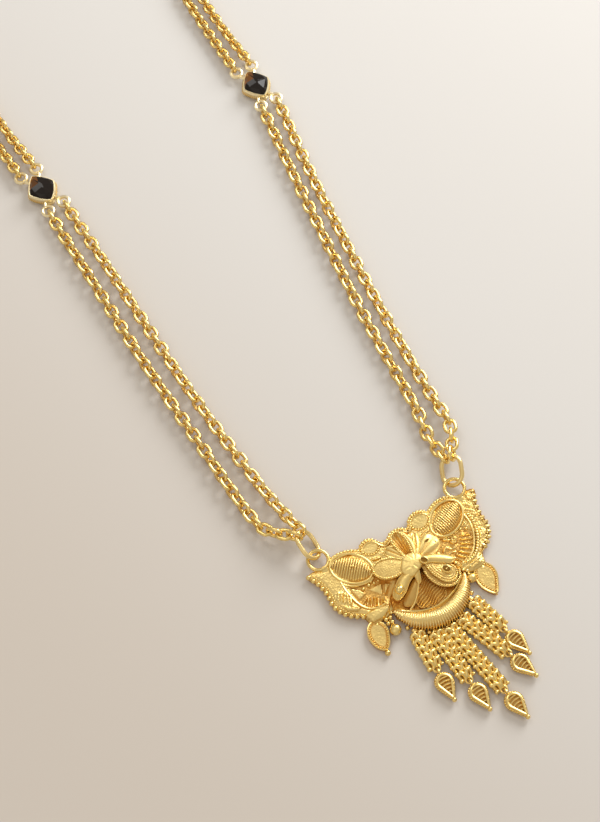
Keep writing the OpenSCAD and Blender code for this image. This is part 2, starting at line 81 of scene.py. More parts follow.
TOP_BORDER = [(-14, -2), (-12.6, -1.2), (-10.4, -1), (-8.4, -1.6), (-7.2, -2.3), (-6.6, -1.6),
              (-5.4, -1.1), (-4.1, -1.5), (-3.3, -2.6), (-2.5, -3.2), (-1.5, -2.9), (-0.6, -2.2),
              (0.5, -2), (1.6, -2.2), (2.5, -2.8), (3.2, -2.6), (3.9, -1.5), (5.4, -0.8),
              (6.9, -1.1), (7.7, -1.9), (8.6, -1.4), (10.3, -0.8), (12.2, -0.9), (13.6, -1.7)]
FIELD_WIRE_LEFT = [(-13.2, -5.5), (-13.2, -7.3), (-12.9, -9.1), (-12.4, -10.8), (-11.7, -12),
                   (-10.7, -12.8), (-9.3, -13.2), (-7.9, -13.1)]
FIELD_WIRE_RIGHT = [(13.4, -5.2), (13.6, -7.2), (12.9, -9.8), (11.4, -12.1), (9.6, -13.2),
                    (8, -13.4)]
OVAL_FOOT_WIRE = [(-13.2, -6.2), (-12, -7.2), (-10.7, -7.8), (-9.1, -8.1), (-7.6, -7.9)]
# Flat plates of the wings: outline and height over the ground
PLATES = [
    ([(-9.6, -9.3), (-6.6, -9.3), (-7.6, -11.6)], 0.22),
    ([(-6.3, -9.6), (-5.2, -10.2), (-7.5, -11.9)], 0.25),
    ([(-12.5, -7.3), (-11, -8.4), (-10, -9.8), (-11.8, -10.3)], 0.3),
    ([(-15.5, -9.4), (-14.6, -10.2), (-13.5, -11), (-11.8, -11.8), (-13.4, -12),
      (-14.8, -11.1)], 0.3),
    ([(-12.5, -13.2), (-10.2, -13.1), (-7.3, -13.6), (-8.2, -14.7), (-9.6, -15.3), (-11.8, -15.2)],
     0.35),
]
# Short ribs of the wings: their inner and outer ends
RIBS = [((-10.8, -10.7), (-11.8, -11.3)), ((-10.2, -10.8), (-11.2, -12)),
        ((-9.6, -11), (-10.6, -12.4)), ((-9.1, -11.3), (-10, -12.7)),
        ((-8.7, -11.7), (-9.4, -12.9)), ((-8.2, -12), (-8.8, -13)), ((-7.8, -12.2), (-8.1, -13)),
        ((10.8, -8.5), (12.4, -9.1)), ((10.5, -9.2), (12.3, -10)), ((10.1, -9.9), (12, -11)),
        ((9.6, -10.5), (11.5, -11.8)), ((8.9, -11), (10.7, -12.5)), ((8.2, -11.4), (9.7, -12.9)),
        ((7.4, -11.6), (8.5, -13))]
STROKES = [((-14.6, -7.4), (-15.4, -8.6)), ((-14.1, -7.6), (-14.9, -9)),
           ((-13.7, -8), (-14.5, -9.5)), ((-13.4, -8.5), (-14, -10)),
           ((-13.1, -9.2), (-13.6, -10.6)),
           ((6.4, -9.8), (7.2, -9.2)), ((7.2, -9.2), (7.9, -10)), ((7.9, -10), (8.9, -10)),
           ((6.9, -10.7), (7.6, -10.5)), ((7.6, -10.5), (8.3, -10.8)),
           ((13.8, -6.9), (14.9, -7.4)), ((13.4, -7.6), (14.5, -8.2)),
           ((13, -8.4), (14.1, -9.2)), ((9, -13), (10.4, -12.7)),
           ((9.1, -13.6), (11, -13.3)), ((9.3, -14.3), (11.3, -14)),
           ((9.5, -14.9), (11.3, -14.7)), ((7.5, -13.8), (8.6, -13.7)),
           ((7.6, -14.6), (9.2, -14.6)), ((8, -13.3), (9.2, -13.3))]
# Petals: outline, foot, tip, height at foot and tip, rise of the middle, pattern, edge of rope
PETALS = [
    ([(-1.1, -3.1), (-0.2, -2.5), (0.6, -3.1), (1, -5.2), (0.7, -7.2), (0.2, -8.6), (-0.9, -8.2),
      (-1.4, -6.2), (-1.6, -4.2)], (0, -8.6), (-0.5, -2.6), 3.75, 2.8, -0.8, "shell", True),
    ([(0.6, -2.9), (1.5, -4), (1.9, -6), (1.3, -8.2), (0.3, -9), (0.9, -6.6), (1, -4.8)],
     (0.6, -9), (1, -2.9), 3.7, 2.9, 0.35, "plain", False),
    ([(2.7, -4.3), (3.5, -4.8), (3.2, -6.2), (1.7, -8.5), (0.8, -8.8), (1.6, -6.2)],
     (1, -8.8), (3.1, -4.3), 3.65, 2.6, 0.25, "slit", False),
    ([(1.6, -8.1), (2.7, -6.6), (3.6, -5.9), (4.9, -5.6), (6.2, -6.7), (6.3, -8.3), (5.1, -9.5),
      (3.3, -9.7), (0.8, -9.5)], (0.8, -9.2), (6.2, -7), 3.35, 2.9, 0.4, "fold", False),
    ([(0.8, -9.2), (2.6, -9.4), (4.9, -10.3), (7.1, -12), (6, -12.6), (3.7, -11.4), (2.2, -10.6),
      (0.8, -10.1)], (0.6, -9.5), (7.1, -12.1), 3.75, 2.8, 0.35, "plain", False),
    ([(1.7, -10.6), (2.5, -10.7), (3.9, -11.4), (6, -13), (6.3, -14.5), (5.1, -15.5), (3.4, -15),
      (2.2, -13.2), (1.8, -11.8)], (1.6, -10.4), (5.8, -15.2), 3.3, 2.1, 0.45, "rings", True),
    ([(-0.6, -10.2), (-2.2, -10.3), (-3.7, -10.6), (-5.4, -11.8), (-6.4, -12.9), (-5.9, -14),
      (-4.2, -13.5), (-2.7, -12.3), (-1.2, -11.4)], (-0.6, -10.4), (-6.2, -13.8), 3.4, 2.6, 0.7,
     "plain", False),
    ([(-0.6, -8.2), (-1.9, -7.8), (-3.1, -6.8), (-5.2, -6), (-6.7, -6.4), (-7.2, -7.6),
      (-6.2, -9.3), (-4.2, -10.1), (-2.4, -10), (-0.6, -10.2)], (-0.4, -9.2), (-7.2, -7.8), 3.75,
     2.3, 0.2, "hatch", True),
    ([(-3.3, -4.6), (-2.4, -4.3), (-1.5, -5.2), (-0.5, -8.4), (-1.3, -8.5), (-2.4, -7.2),
      (-3.6, -5.6)], (-0.6, -8.6), (-3.2, -4.4), 3.65, 2.4, 0.25, "slit", False),
    ([(-4.5, -5.7), (-3.8, -5.2), (-1.5, -7.9), (-1.2, -8.8), (-2.8, -7.6)], (-1, -8.7),
     (-4.4, -5.4), 3.4, 2.1, 0.2, "plain", False),
    ([(0.2, -10), (0, -11.4), (-0.5, -12.9), (-1.1, -12.9), (-1.1, -11.8), (-1.1, -10)],
     (-0.4, -9.8), (-0.9, -13), 3.65, 2.2, 0.25, "plain", False),
]
# The broad flat middle of the flower
HUB = [(-2.5, -8.9), (-1.6, -7.9), (-0.2, -7.5), (1.2, -8), (1.8, -9.1), (1.3, -10.3), (0.1, -11.1),
       (-1.6, -11.7), (-2.6, -11.1), (-2.9, -9.9)]
CREASES = [(-0.4, -7.9, 0, -8.8), (0.8, -8.3, 0.3, -9), (-1.9, -8.2, -1.2, -9),
           (-2.6, -10.1, -1.4, -10), (0.2, -11, -0.3, -10.1), (-1.2, -11.4, -0.9, -10.4)]
FAN = [(-0.4, -11.4), (0.7, -11.6), (1.7, -13.2), (2.9, -15), (2.6, -17), (0.2, -17.8), (-2.8, -17),
       (-3, -15.2), (-1.8, -13.2)]
LEAVES = [
    [(-11.1, -15.1), (-12.3, -14.9), (-13.4, -15.8), (-13.9, -17.4), (-13.6, -19.1), (-12.8, -20.2),
     (-11.9, -20.5), (-10.8, -19.4), (-10, -17.4), (-10.2, -16)],
    [(10.3, -14.6), (11.7, -14.8), (12.8, -16.2), (12.9, -17.8), (12.2, -19.4), (10.9, -21.2),
     (9.5, -19.9), (8.8, -18), (9.1, -16.1)],
]
TASSELS = [(-5.9, -20.9, -1.5, 4), (-2.9, -22.5, 4.5, 6), (-0.1, -22.8, 10, 9), (3, -22.4, 21, 6),
           (6.3, -20.7, 16, 4)]
TASSEL_Z, HANG_R, HANG_WIRE_R = 0.9, 0.65, 0.2
TASSEL_FIRST, ROW_STEP, ROW_START, RING_TILT, RING_DIP = 0.65, 1.45, 1.62, 20, 30
HEAD_ROW = -0.85  # the row that lies on the loop, a little closer than the others
STAND_R, DROP_LEN, DROP_W, DROP_TIP, DROP_BALL_R = 0.55, 4.9, 3.3, 0.3, 0.45
JUMP_LEN, JUMP_W, JUMP_WIRE_R = 6.4, 5, 0.35
JUMP_REACH, JUMP_PITCH, JUMP_TILT, JUMP_LEAN = 0.6, 13, 40, {-1: 5, 1: 22}
SETTINGS = {-1: (-25.2, 98.4, 9), 1: (26.3, 100.4, 3)}
STONE_LEN, STONE_W, STONE_TOP = 6.7, 5.4, 3.3
SETTING_WALL, STONE_GIRDLE, STONE_POWER = 0.6, 2.3, 1.3
LOOP_AT, LOOP_R, LOOP_WIRE_R, CHAIN_Z = (1.9, 5.1), 0.9, 0.22, 1.32
LOOP_SHOWN_R, LOOP_SHOWN_WIRE_R = 1.15, 0.36
WIRE_GAP, LINK_PITCH, LINK_INNER, LINK_LIFT = 0.14, 2.06, 1.1, 0.09
FINE_PITCH, FINE_INNER, FINE_LIFT = 1.52, 1, 0.23
# Front strands: side, place across the setting, fan angle on the jump ring, middle of the route
FRONT = {
    "front_chain_left_outer": (-1, -1, 42, [
        (-20.4, 9.6, 1.9), (-21.6, 14, 1.4), (-22.4, 22, CHAIN_Z), (-23.2, 33, CHAIN_Z),
        (-24.1, 44, CHAIN_Z), (-24.8, 55, CHAIN_Z), (-25.2, 66, CHAIN_Z), (-25.7, 77, CHAIN_Z),
        (-26.1, 86, CHAIN_Z)]),
    "front_chain_left_inner": (-1, 1, -12, [
        (-15.8, 11, 1.5), (-16.9, 17, CHAIN_Z), (-17.9, 25, CHAIN_Z), (-19, 35, CHAIN_Z),
        (-19.8, 45, CHAIN_Z), (-20.4, 56, CHAIN_Z), (-21, 67, CHAIN_Z), (-21.6, 78, CHAIN_Z),
        (-22.2, 87, CHAIN_Z)]),
    "front_chain_right_inner": (1, -1, -34, [
        (15.9, 11.5, 1.4), (16.9, 18, CHAIN_Z), (17.5, 28, CHAIN_Z), (18.1, 38, CHAIN_Z),
        (19, 48, CHAIN_Z), (20.2, 59, CHAIN_Z), (21.5, 70, CHAIN_Z), (22.8, 81, CHAIN_Z),
        (24, 89.5, CHAIN_Z)]),
    "front_chain_right_outer": (1, 1, 14, [
        (20.6, 11.5, 1.9), (20.9, 18, 1.4), (21.3, 28, CHAIN_Z), (22, 39, CHAIN_Z),
        (22.9, 50, CHAIN_Z), (24, 61, CHAIN_Z), (25.2, 72, CHAIN_Z), (26.7, 83, CHAIN_Z),
        (27.9, 90.5, CHAIN_Z)]),
}
# Finer strands behind the stones: side, place on the setting, and the middle line of the pair
BACK_LEFT = [(-26.2, 104.85), (-27.2, 114), (-28, 124), (-29.4, 136), (-31.6, 148), (-34.4, 160),
             (-37.6, 172), (-40.8, 184), (-43.4, 196), (-44.9, 208), (-44.1, 219), (-40.9, 229),
             (-35.6, 237.5), (-28.6, 244.7), (-20.2, 250.2), (-13.6, 252.9), (-7.35, 254.4)]
BACK_RIGHT = [(25.95, 106.95), (25.6, 117), (25.6, 128), (27, 140), (29.8, 152), (33.2, 164),
              (36.9, 175), (40.4, 186), (43.3, 197), (44.9, 208), (44.1, 219), (40.9, 229),
              (35.6, 237.5), (28.6, 244.7), (20.2, 250.2), (13.6, 252.9), (7.35, 254.4)]
BACK_HALF_GAP, BACK_Z = 1.65, 1.1
BACK = {
    "back_chain_left_outer": (-1, -1, 1, BACK_LEFT),
    "back_chain_left_inner": (-1, 1, -1, BACK_LEFT),
    "back_chain_right_inner": (1, -1, 1, BACK_RIGHT),
    "back_chain_right_outer": (1, 1, -1, BACK_RIGHT),
}
END_RING_AT, END_RING_R, END_RING_WIRE_R = (5.03, 254.6), 1.6, 0.35
HOOK_R, HOOK_WIRE_R = 2.2, 0.45
# Scrolls of the wings: place, radius, start in degrees, way round and height
SCROLLS = [((9.2, -8.6), 0.7, 200, 1, 0.5), ((14.6, -4.4), 0.95, 250, 1, 0.22),
           ((14.9, -6), 0.8, 90, -1, 0.22), ((14.6, -9.9), 0.6, 70, -1, 0.16),
           ((16.3, -2.8), 0.55, 100, 1, 0.3)]
SCROLL_TURNS = 1.3
# Small leaves of both wings: foot, and the way to the tip
LEAFLETS = [(4.6, -5.2, 1.3, 0.3), (7, -6.2, 0.8, -0.9), (7.6, -7.8, 0.8, -0.5)]
LAND_R, LAND_TOP = 8.7, [(7.2, -13), (3, -9.6), (-3, -9.6), (-7.2, -13)]
CREST_R, OVAL_RIB_INSET, RIB_SHARE = 1.9, 0.12, 0.078
# Teeth of the right edge: way in from the edge and lift at each step, and radii
TOOTH = [(1.3, 0.36), (0.9, 0.36), (0.45, 0.2), (0.12, 0)]
TOOTH_R = (0.12, 0.26, 0.32, 0.32)
SLOT_BACK, SLOT_SIZE = 0.66, (0.36, 0.2)
PATTERN_DEPTH = {"shell": 0.14, "fold": 0.11, "rings": 0.08, "slit": 0.15, "fan": 0.13,
                 "hatch": 0.08, "plain": 0.02}
FLOWER_ROPE = [(0.9, -11.6, 2.9), (1.2, -13.4, 2.6), (2.2, -15.1, 2.3), (4.2, -16.2, 2.1),
               (6.2, -15.6, 2), (7, -14, 2)]
FLOWER_WIRE = [(-0.8, -12.6, 2.4), (-1.5, -13.6, 1.9), (-2.5, -14.8, 1.6), (-3.5, -15.7, 1.35),
               (-4.6, -16.3, 1.2), (-5.2, -16.7, 0.9)]
# Deep forms of the flower, in painted shade, as in the petals' table, and the fan's lower floor
DEEP_PETALS = [
    (FAN, (-0.2, -11.4), (-0.2, -17.8), 1.75, 1.1, 0.25, "fan", 0.6),
    ([(0.9, -10.2), (1.9, -10.3), (2.6, -12.4), (3.6, -14.5), (5, -15.3), (6.3, -14.6), (7, -14),
      (6.2, -15.6), (4.2, -16.2), (2.3, -15.2), (1.2, -13.2)], (1.3, -10.2), (6.6, -15.5), 3.1,
     1.55, 0.05, "hatch"),
    ([(-1.3, -11.8), (-2.9, -12.9), (-4.7, -14.1), (-5.3, -15.2), (-4.4, -15.9), (-3.2, -15.4),
      (-1.9, -13.9), (-0.9, -12.6)], (-1.1, -11.8), (-4.9, -15.7), 2.2, 1.1, 0.35, "plain"),
]
# Holes of the flower, dark with painted shade: foot, depth, sides, half sizes and turn
HOLES = [((4.6, -13.3, 2.2), 1.1, 18, (0.76, 0.56), -50),
         ((1.7, -10.1, 3.3), 0.82, 18, (0.68, 0.46), -50),
         ((5.4, -7.9, 2.2), 1.3, 14, (0.24, 0.24), 0),
         ((4.2, -7.0, 2.2), 1.47, 14, (0.44, 0.16), 10)]
# Balls along the crescent's outer side, in degrees round its centre
CRESCENT_BALLS = (-135, -128, -112, -105, -97, -88, -80, -71, -60, -52, -45)
# Rings of a setting: share of the stone's half size, addition and height
SETTING_PROFILE = [(0.8, 0, 0), (1, 0.3, 0.25), (1, 0.42, 0.8), (1, 0.3, 1), (1, 0.48, 1.3),
                   (1, 0.45, 1.7), (1, 0.39, 2), (1, 0.24, 2.15), (1, 0.09, 2.15),
                   (1, 0.04, 2.08), (1, -0.02, 1.9), (1, 0.1, 1.7), (1, 0.12, 1.6), (0.5, 0, 0.6)]
LOOP_STEM = [(LOOP_AT[0], LOOP_AT[1] - LOOP_R), (1.55, 3.4), (1.1, 2.9)]

# ---- tables of the pieces, finishes and stage ---------------------------------------------------

PENDANT = ["pendant_plate"]
WORDS = {-1: "left", 1: "right"}
# Relief grids: height of a row, and room to the edge, as shares of the spacing
GRID_ROW, GRID_MARGIN = 0.866, 0.6
# Painted shade on the walls of a relief whose top has painted shade
WALL_PAINTED_SHADE = 0.9
ROPE_STEPS = 7.0  # points of a strand in one twist
# Each finish starts from this one: roughness setting and addition to it, spread of the wear,
# strength of the punched grain, share of painted shade by height and its low and high ends in
# metres, deepening of the painted shade colour, and colour setting
PLAIN_GOLD = {"base": "polish_roughness", "more": 0, "spread": 0.1, "grain": 0.12,
              "amount": 0.45, "low": 0.0001, "high": 0.0013, "tone": 1, "colour": "gold_light"}
FINISHES = {
    "Satin gold": {"base": "satin_roughness", "spread": 0.14, "grain": 0.75},
    "Fine satin gold": {"base": "satin_roughness", "more": -0.04, "spread": 0.14, "grain": 0.45},
    "Polished gold": {},
    "Petal gold": {"base": "satin_roughness", "more": 0.12, "grain": 0.3},
    "Pale gold": {"more": 0.12, "amount": 0.3, "colour": "gold_pale"},
    # A lighter copy of the gold: painted highlight
    "Bright gold": {"more": 0.08, "amount": 0.4, "colour": "gold_painted_highlight"},
    "Soft polished gold": {"more": 0.1, "amount": 0.3},
    # The next three are darker copies of the gold for deep places: painted shade
    "Deep satin gold": {"base": "satin_roughness", "more": 0.09, "spread": 0.12, "amount": 0.55,
                        "low": 0.0055, "high": 0.0075, "tone": 0.8},
    "Thread gold": {"base": "satin_roughness", "more": 0.14, "spread": 0.12, "amount": 0.9,
                    "low": 0.0055, "high": 0.0075, "tone": 0.45},
    "Hollow gold": {"base": "satin_roughness", "more": 0.24, "spread": 0.12, "amount": 1,
                    "low": 0.005, "high": 0.01, "tone": 0.38},
    # Chain gold: more painted shade, the lower down on the links
    "Chain gold": {"more": 0.02, "amount": 0.75, "low": 0, "high": 0.002},
}
STIPPLE_SCALE, STIPPLE_DEPTH = 2600.0, 0.00009
# The second colour is a warm reflection painted on some of the stone's facets
WORN_TINT, STONE_PAINTED_GLINT = (0.96, 0.88, 0.74, 1), (0.4, 0.15, 0.035, 1)
# Lights, in metres from the point that they aim at: place, size, power and colour
LIGHTS_AIM = (-0.0026, -0.0783, 0)
KEY_OFF, KEY_SIZE, KEY_COLOUR = (0.44, 0.22, 0.27), 0.36, (1.0, 1.0, 0.99)
SOFT_LIGHTS = (("fill", (-0.5, -0.25, 0.45), 0.5, 0.3, (1.0, 0.9, 0.8)),
               ("top", (-0.05, 0.45, 0.6), 0.3, 0.6, (1.0, 0.98, 0.95)))
SKY, SKY_STRENGTH = ((0.0, (0.6, 0.52, 0.43, 1)), (0.9, (0.95, 0.88, 0.79, 1))), 0.64
FOCAL_PIXELS, PHOTO_HEIGHT, SENSOR_MM = 1444, 822, 36
LOOK_AT = (-0.002636, -0.07834, 0)


# ---- properties --------------------------------------------------------------------------------

class NecklaceChainSizes(PropertyGroup):
    link_length: FloatProperty(
        name="Link length", description="Outer length of a front link", default=0.0035,
        unit="LENGTH")
    link_width: FloatProperty(
        name="Link width", description="Outer width of a front link", default=0.0028, unit="LENGTH")
    link_wire: FloatProperty(
        name="Link wire", description="Wire radius of a front link", default=0.00037,
        unit="LENGTH")
    fine_length: FloatProperty(
        name="Fine link length", description="Outer length of a link behind the stones",
        default=0.003, unit="LENGTH")
    fine_width: FloatProperty(
        name="Fine link width", description="Outer width of a link behind the stones",
        default=0.0026, unit="LENGTH")
    fine_wire: FloatProperty(
        name="Fine link wire", description="Wire radius of a link behind the stones",
        default=0.00035, unit="LENGTH")


class NecklacePendantSizes(PropertyGroup):
    bead_radius: FloatProperty(
        name="Edge bead radius", description="Radius of the beads on the wings' outer edges",
        default=0.00049, unit="LENGTH")
    grain_radius: FloatProperty(
        name="Milgrain radius", description="Radius of the fine grains along the rims",
        default=0.00017, unit="LENGTH")
    rope_radius: FloatProperty(
        name="Rope strand radius", description="Radius of one strand of the border rope",
        default=0.00024, unit="LENGTH")
    crescent_ribs: IntProperty(
        name="Crescent ribs", description="Number of fine ribs across the crescent", default=44)
    oval_ribs: IntProperty(
        name="Oval ribs", description="Number of ribs across a big oval", default=16)


class NecklaceFinish(PropertyGroup):
    # The gold's own colour, where no shade is painted
    gold_light: FloatVectorProperty(
        name="Gold", description="Colour of the gold where it is clean", subtype="COLOR",
        size=3, min=0, max=1, default=(0.965, 0.74, 0.285))
    gold_pale: FloatVectorProperty(
        name="Pale gold", description="Colour of the stones' settings", subtype="COLOR",
        size=3, min=0, max=1, default=(1, 0.87, 0.55))
    # A lighter gold that paints highlight on the crescent's ribs and the jump rings
    gold_painted_highlight: FloatVectorProperty(
        name="Bright gold", description="Colour of the crescent's ribs and the long rings",
        subtype="COLOR", size=3, min=0, max=1, default=(1, 0.79, 0.36))
    # Darker gold that paints shade in hollows and low down
    gold_painted_shade: FloatVectorProperty(
        name="Deep gold", description="Colour of the gold in its recesses", subtype="COLOR",
        size=3, min=0, max=1, default=(0.66, 0.33, 0.06))
    satin_roughness: FloatProperty(
        name="Satin roughness", description="Roughness of the plates", default=0.36,
        subtype="FACTOR")
    polish_roughness: FloatProperty(
        name="Polish roughness", description="Roughness of wires and balls", default=0.2,
        subtype="FACTOR")
    stone: FloatVectorProperty(
        name="Stone", description="Colour of the stones' body", subtype="COLOR", size=3, min=0,
        max=1, default=(0.012, 0.008, 0.006))


class NecklaceStage(PropertyGroup):
    # The floor's own pale colour, darker at the lower left as painted shade
    floor_with_painted_shade: FloatVectorProperty(
        name="Floor, lower left", description="Colour of the floor at the picture's lower left",
        subtype="COLOR", size=3, min=0, max=1, default=(0.665, 0.612, 0.553))
    # The floor's own pale colour, lighter at the upper right as painted light
    floor_with_painted_light: FloatVectorProperty(
        name="Floor, upper right", description="Colour of the floor at the picture's upper right",
        subtype="COLOR", size=3, min=0, max=1, default=(0.73, 0.72, 0.705))
    key_power: FloatProperty(
        name="Key light", description="Power of the large soft light", default=2.6, unit="POWER")
    azimuth: FloatProperty(
        name="Camera azimuth", description="Camera's turn about the vertical",
        default=math.radians(-29), subtype="ANGLE")
    elevation: FloatProperty(
        name="Camera elevation", description="Camera's angle above the floor",
        default=math.radians(65), subtype="ANGLE")
    distance: FloatProperty(
        name="Camera distance", description="Distance to the point that the camera looks at",
        default=0.28, unit="LENGTH")


# ---- placing -----------------------------------------------------------------------------------

def metres(points):
    """Points from the pendant's frame in millimetres to the part's frame in metres."""
    out = np.array(points, float)
    out[..., 1] -= MID_Y
    return out * MM


def cos_sin(degrees):
    return math.cos(math.radians(degrees)), math.sin(math.radians(degrees))


def turn_x(p, degrees):
    c, s = cos_sin(degrees)
    return np.array([p[0], p[1] * c - p[2] * s, p[1] * s + p[2] * c])


def turn_y(p, degrees):
    c, s = cos_sin(degrees)
    return np.array([p[0] * c + p[2] * s, p[1], p[2] * c - p[0] * s])


def turn_z(p, degrees):
    c, s = cos_sin(degrees)
    return np.array([p[0] * c - p[1] * s, p[0] * s + p[1] * c, p[2]])


def unit(v):
    v = np.asarray(v, float)
    return v / np.linalg.norm(v)


def on_jump(side, p):
    """A point of a jump ring's own plane, placed at the ear loop of its side."""
    mid = JUMP_REACH + JUMP_LEN / 2 - JUMP_WIRE_R
    q = turn_y(p, -side * JUMP_TILT) + (0, mid - JUMP_REACH, 0)
    q = turn_x(q, JUMP_PITCH) + (0, JUMP_REACH, EAR_Z)
    return turn_z(q, -side * JUMP_LEAN[side]) + (side * EAR_SPAN / 2, 0, 0)


def on_setting(side, p):
    """A point of a setting, placed at its side."""
    x, y, yaw = SETTINGS[side]
    return turn_z(p, yaw) + (x, y, 0)


def smooth_path(points, steps=8, closed=False):
    """A round-shouldered curve through points."""
    p = [np.array(q, float) for q in points]
    n = len(p)
    out = []
    for i in range(n if closed else n - 1):
        if closed:
            a, b, c, d = p[i - 1], p[i], p[(i + 1) % n], p[(i + 2) % n]
        else:
            a, b, c, d = p[max(i - 1, 0)], p[i], p[i + 1], p[min(i + 2, n - 1)]
        for k in range(steps):
            t = k / steps
            out.append(0.5 * (2 * b + (c - a) * t + (2 * a - 5 * b + 4 * c - d) * t * t
                              + (3 * b - a - 3 * c + d) * t ** 3))
    if not closed:
        out.append(p[-1])
    return np.array(out)


def running(path):
    """The length along a path at each of its points."""
    steps = np.linalg.norm(np.diff(path, axis=0), axis=1)
    return np.concatenate([[0], np.cumsum(steps)])


def walk(path, run, s):
    """The place and direction at a length along a path."""
    i = int(np.clip(np.searchsorted(run, s, "left") - 1, 0, len(path) - 2))
    d = unit(path[i + 1] - path[i])
    return path[i] + d * (s - run[i]), d


def axes_turn(x, y, z):
    """Euler angles of a frame given by its three axes."""
    return tuple(Matrix([[x[i], y[i], z[i]] for i in range(3)]).to_euler("XYZ"))


def upright(direction, up):
    """Side, direction and up, with up square to the direction."""
    z = unit(np.asarray(up, float) - direction * np.dot(up, direction))
    return np.cross(direction, z), direction, z


def ellipse(at, a, b, turn=0, n=48, z=0.0, start=0.0, stop=TAU):
    """Points of an ellipse, closed when it runs all the way round."""
    t = np.linspace(start, stop, n, endpoint=abs(stop - start - TAU) > 1e-6)
    c, s = cos_sin(turn)
    x, y = a * np.cos(t), b * np.sin(t)
    return np.stack([at[0] + x * c - y * s, at[1] + x * s + y * c, np.full_like(t, z)], 1)


def resample_ring(ring, spacing):
    closed = np.concatenate([ring, ring[:1]])
    run = running(closed)
    n = max(8, int(round(run[-1] / spacing)))
    at = np.arange(n) * run[-1] / n
    return np.stack([np.interp(at, run, closed[:, i]) for i in range(2)], 1)


def inside(ring, points):
    x, y = points[:, 0], points[:, 1]
    hit = np.zeros(len(points), bool)
    for (x0, y0), (x1, y1) in zip(ring, np.roll(ring, -1, 0)):
        if y0 != y1:
            across = (y0 > y) != (y1 > y)
            hit ^= across & (x < (x1 - x0) * (y - y0) / (y1 - y0) + x0)
    return hit


def line_distance(points, starts, ends):
    """The least way from each point to any of the segments."""
    best = np.full(len(points), 1e9)
    for a, b in zip(starts, ends):
        ab = b - a
        t = np.clip(((points - a) @ ab) / max(float(ab @ ab), 1e-12), 0, 1)
        best = np.minimum(best, np.linalg.norm(points - (a + t[:, None] * ab), axis=1))
    return best


def edge_distance(ring, points):
    return line_distance(points, ring, np.roll(ring, -1, 0))


def ridges(x, y, lines):
    """Height of rounded ridges along lines, each given as points, half width and height."""
    points = np.stack([x, y], 1)
    out = np.zeros(len(points))
    for line, half, rise in lines:
        line = np.asarray(line, float)
        near = ((points > line.min(0) - half) & (points < line.max(0) + half)).all(1)
        if near.any():
            share = 1 - (line_distance(points[near], line[:-1], line[1:]) / half) ** 2
            out[near] = np.maximum(out[near], rise * np.sqrt(np.clip(share, 0, 1)))
    return out


def curl(at, r, start, way):
    """A scroll that winds in to its middle."""
    t = np.linspace(0, 1, 22)
    a = math.radians(start) + way * t * SCROLL_TURNS * TAU
    rr = r * (1 - 0.8 * t)
    return np.stack([at[0] + rr * np.cos(a), at[1] + rr * np.sin(a)], 1)


# ---- mesh building -----------------------------------------------------------------------------

def around(n):
    """The angles of n even steps round a circle."""
    return np.arange(n) * TAU / n


def skin(rows, sides, closed=False, rising=False):
    """Faces over rings of points, with caps on an open form, all outward.

    Level rings that lie one above the other, from the foot up, are rising.
    """
    faces = []
    for i in range(rows if closed else rows - 1):
        j = (i + 1) % rows
        for k in range(sides):
            m = (k + 1) % sides
            quad = (i * sides + k, j * sides + k, j * sides + m, i * sides + m)
            faces.append((quad[0], *quad[:0:-1]) if rising else quad)
    if not closed:
        foot = tuple(range(sides))
        head = tuple(range((rows - 1) * sides, rows * sides))
        faces += [foot[::-1], head] if rising else [foot, head[::-1]]
    return faces


def middles(n):
    """The middles of n even steps from -1 to 1."""
    return [-1 + 2 * (i + 0.5) / n for i in range(n)]


def new_object(name, data):
    obj = bpy.data.objects.new(name, data)
    bpy.context.scene.collection.objects.link(obj)
    return obj


def hand_over(obj, nodes):
    """Every piece rides on the root, as the necklace has no joints."""
    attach(obj, "root")
    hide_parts(*nodes)
    return obj


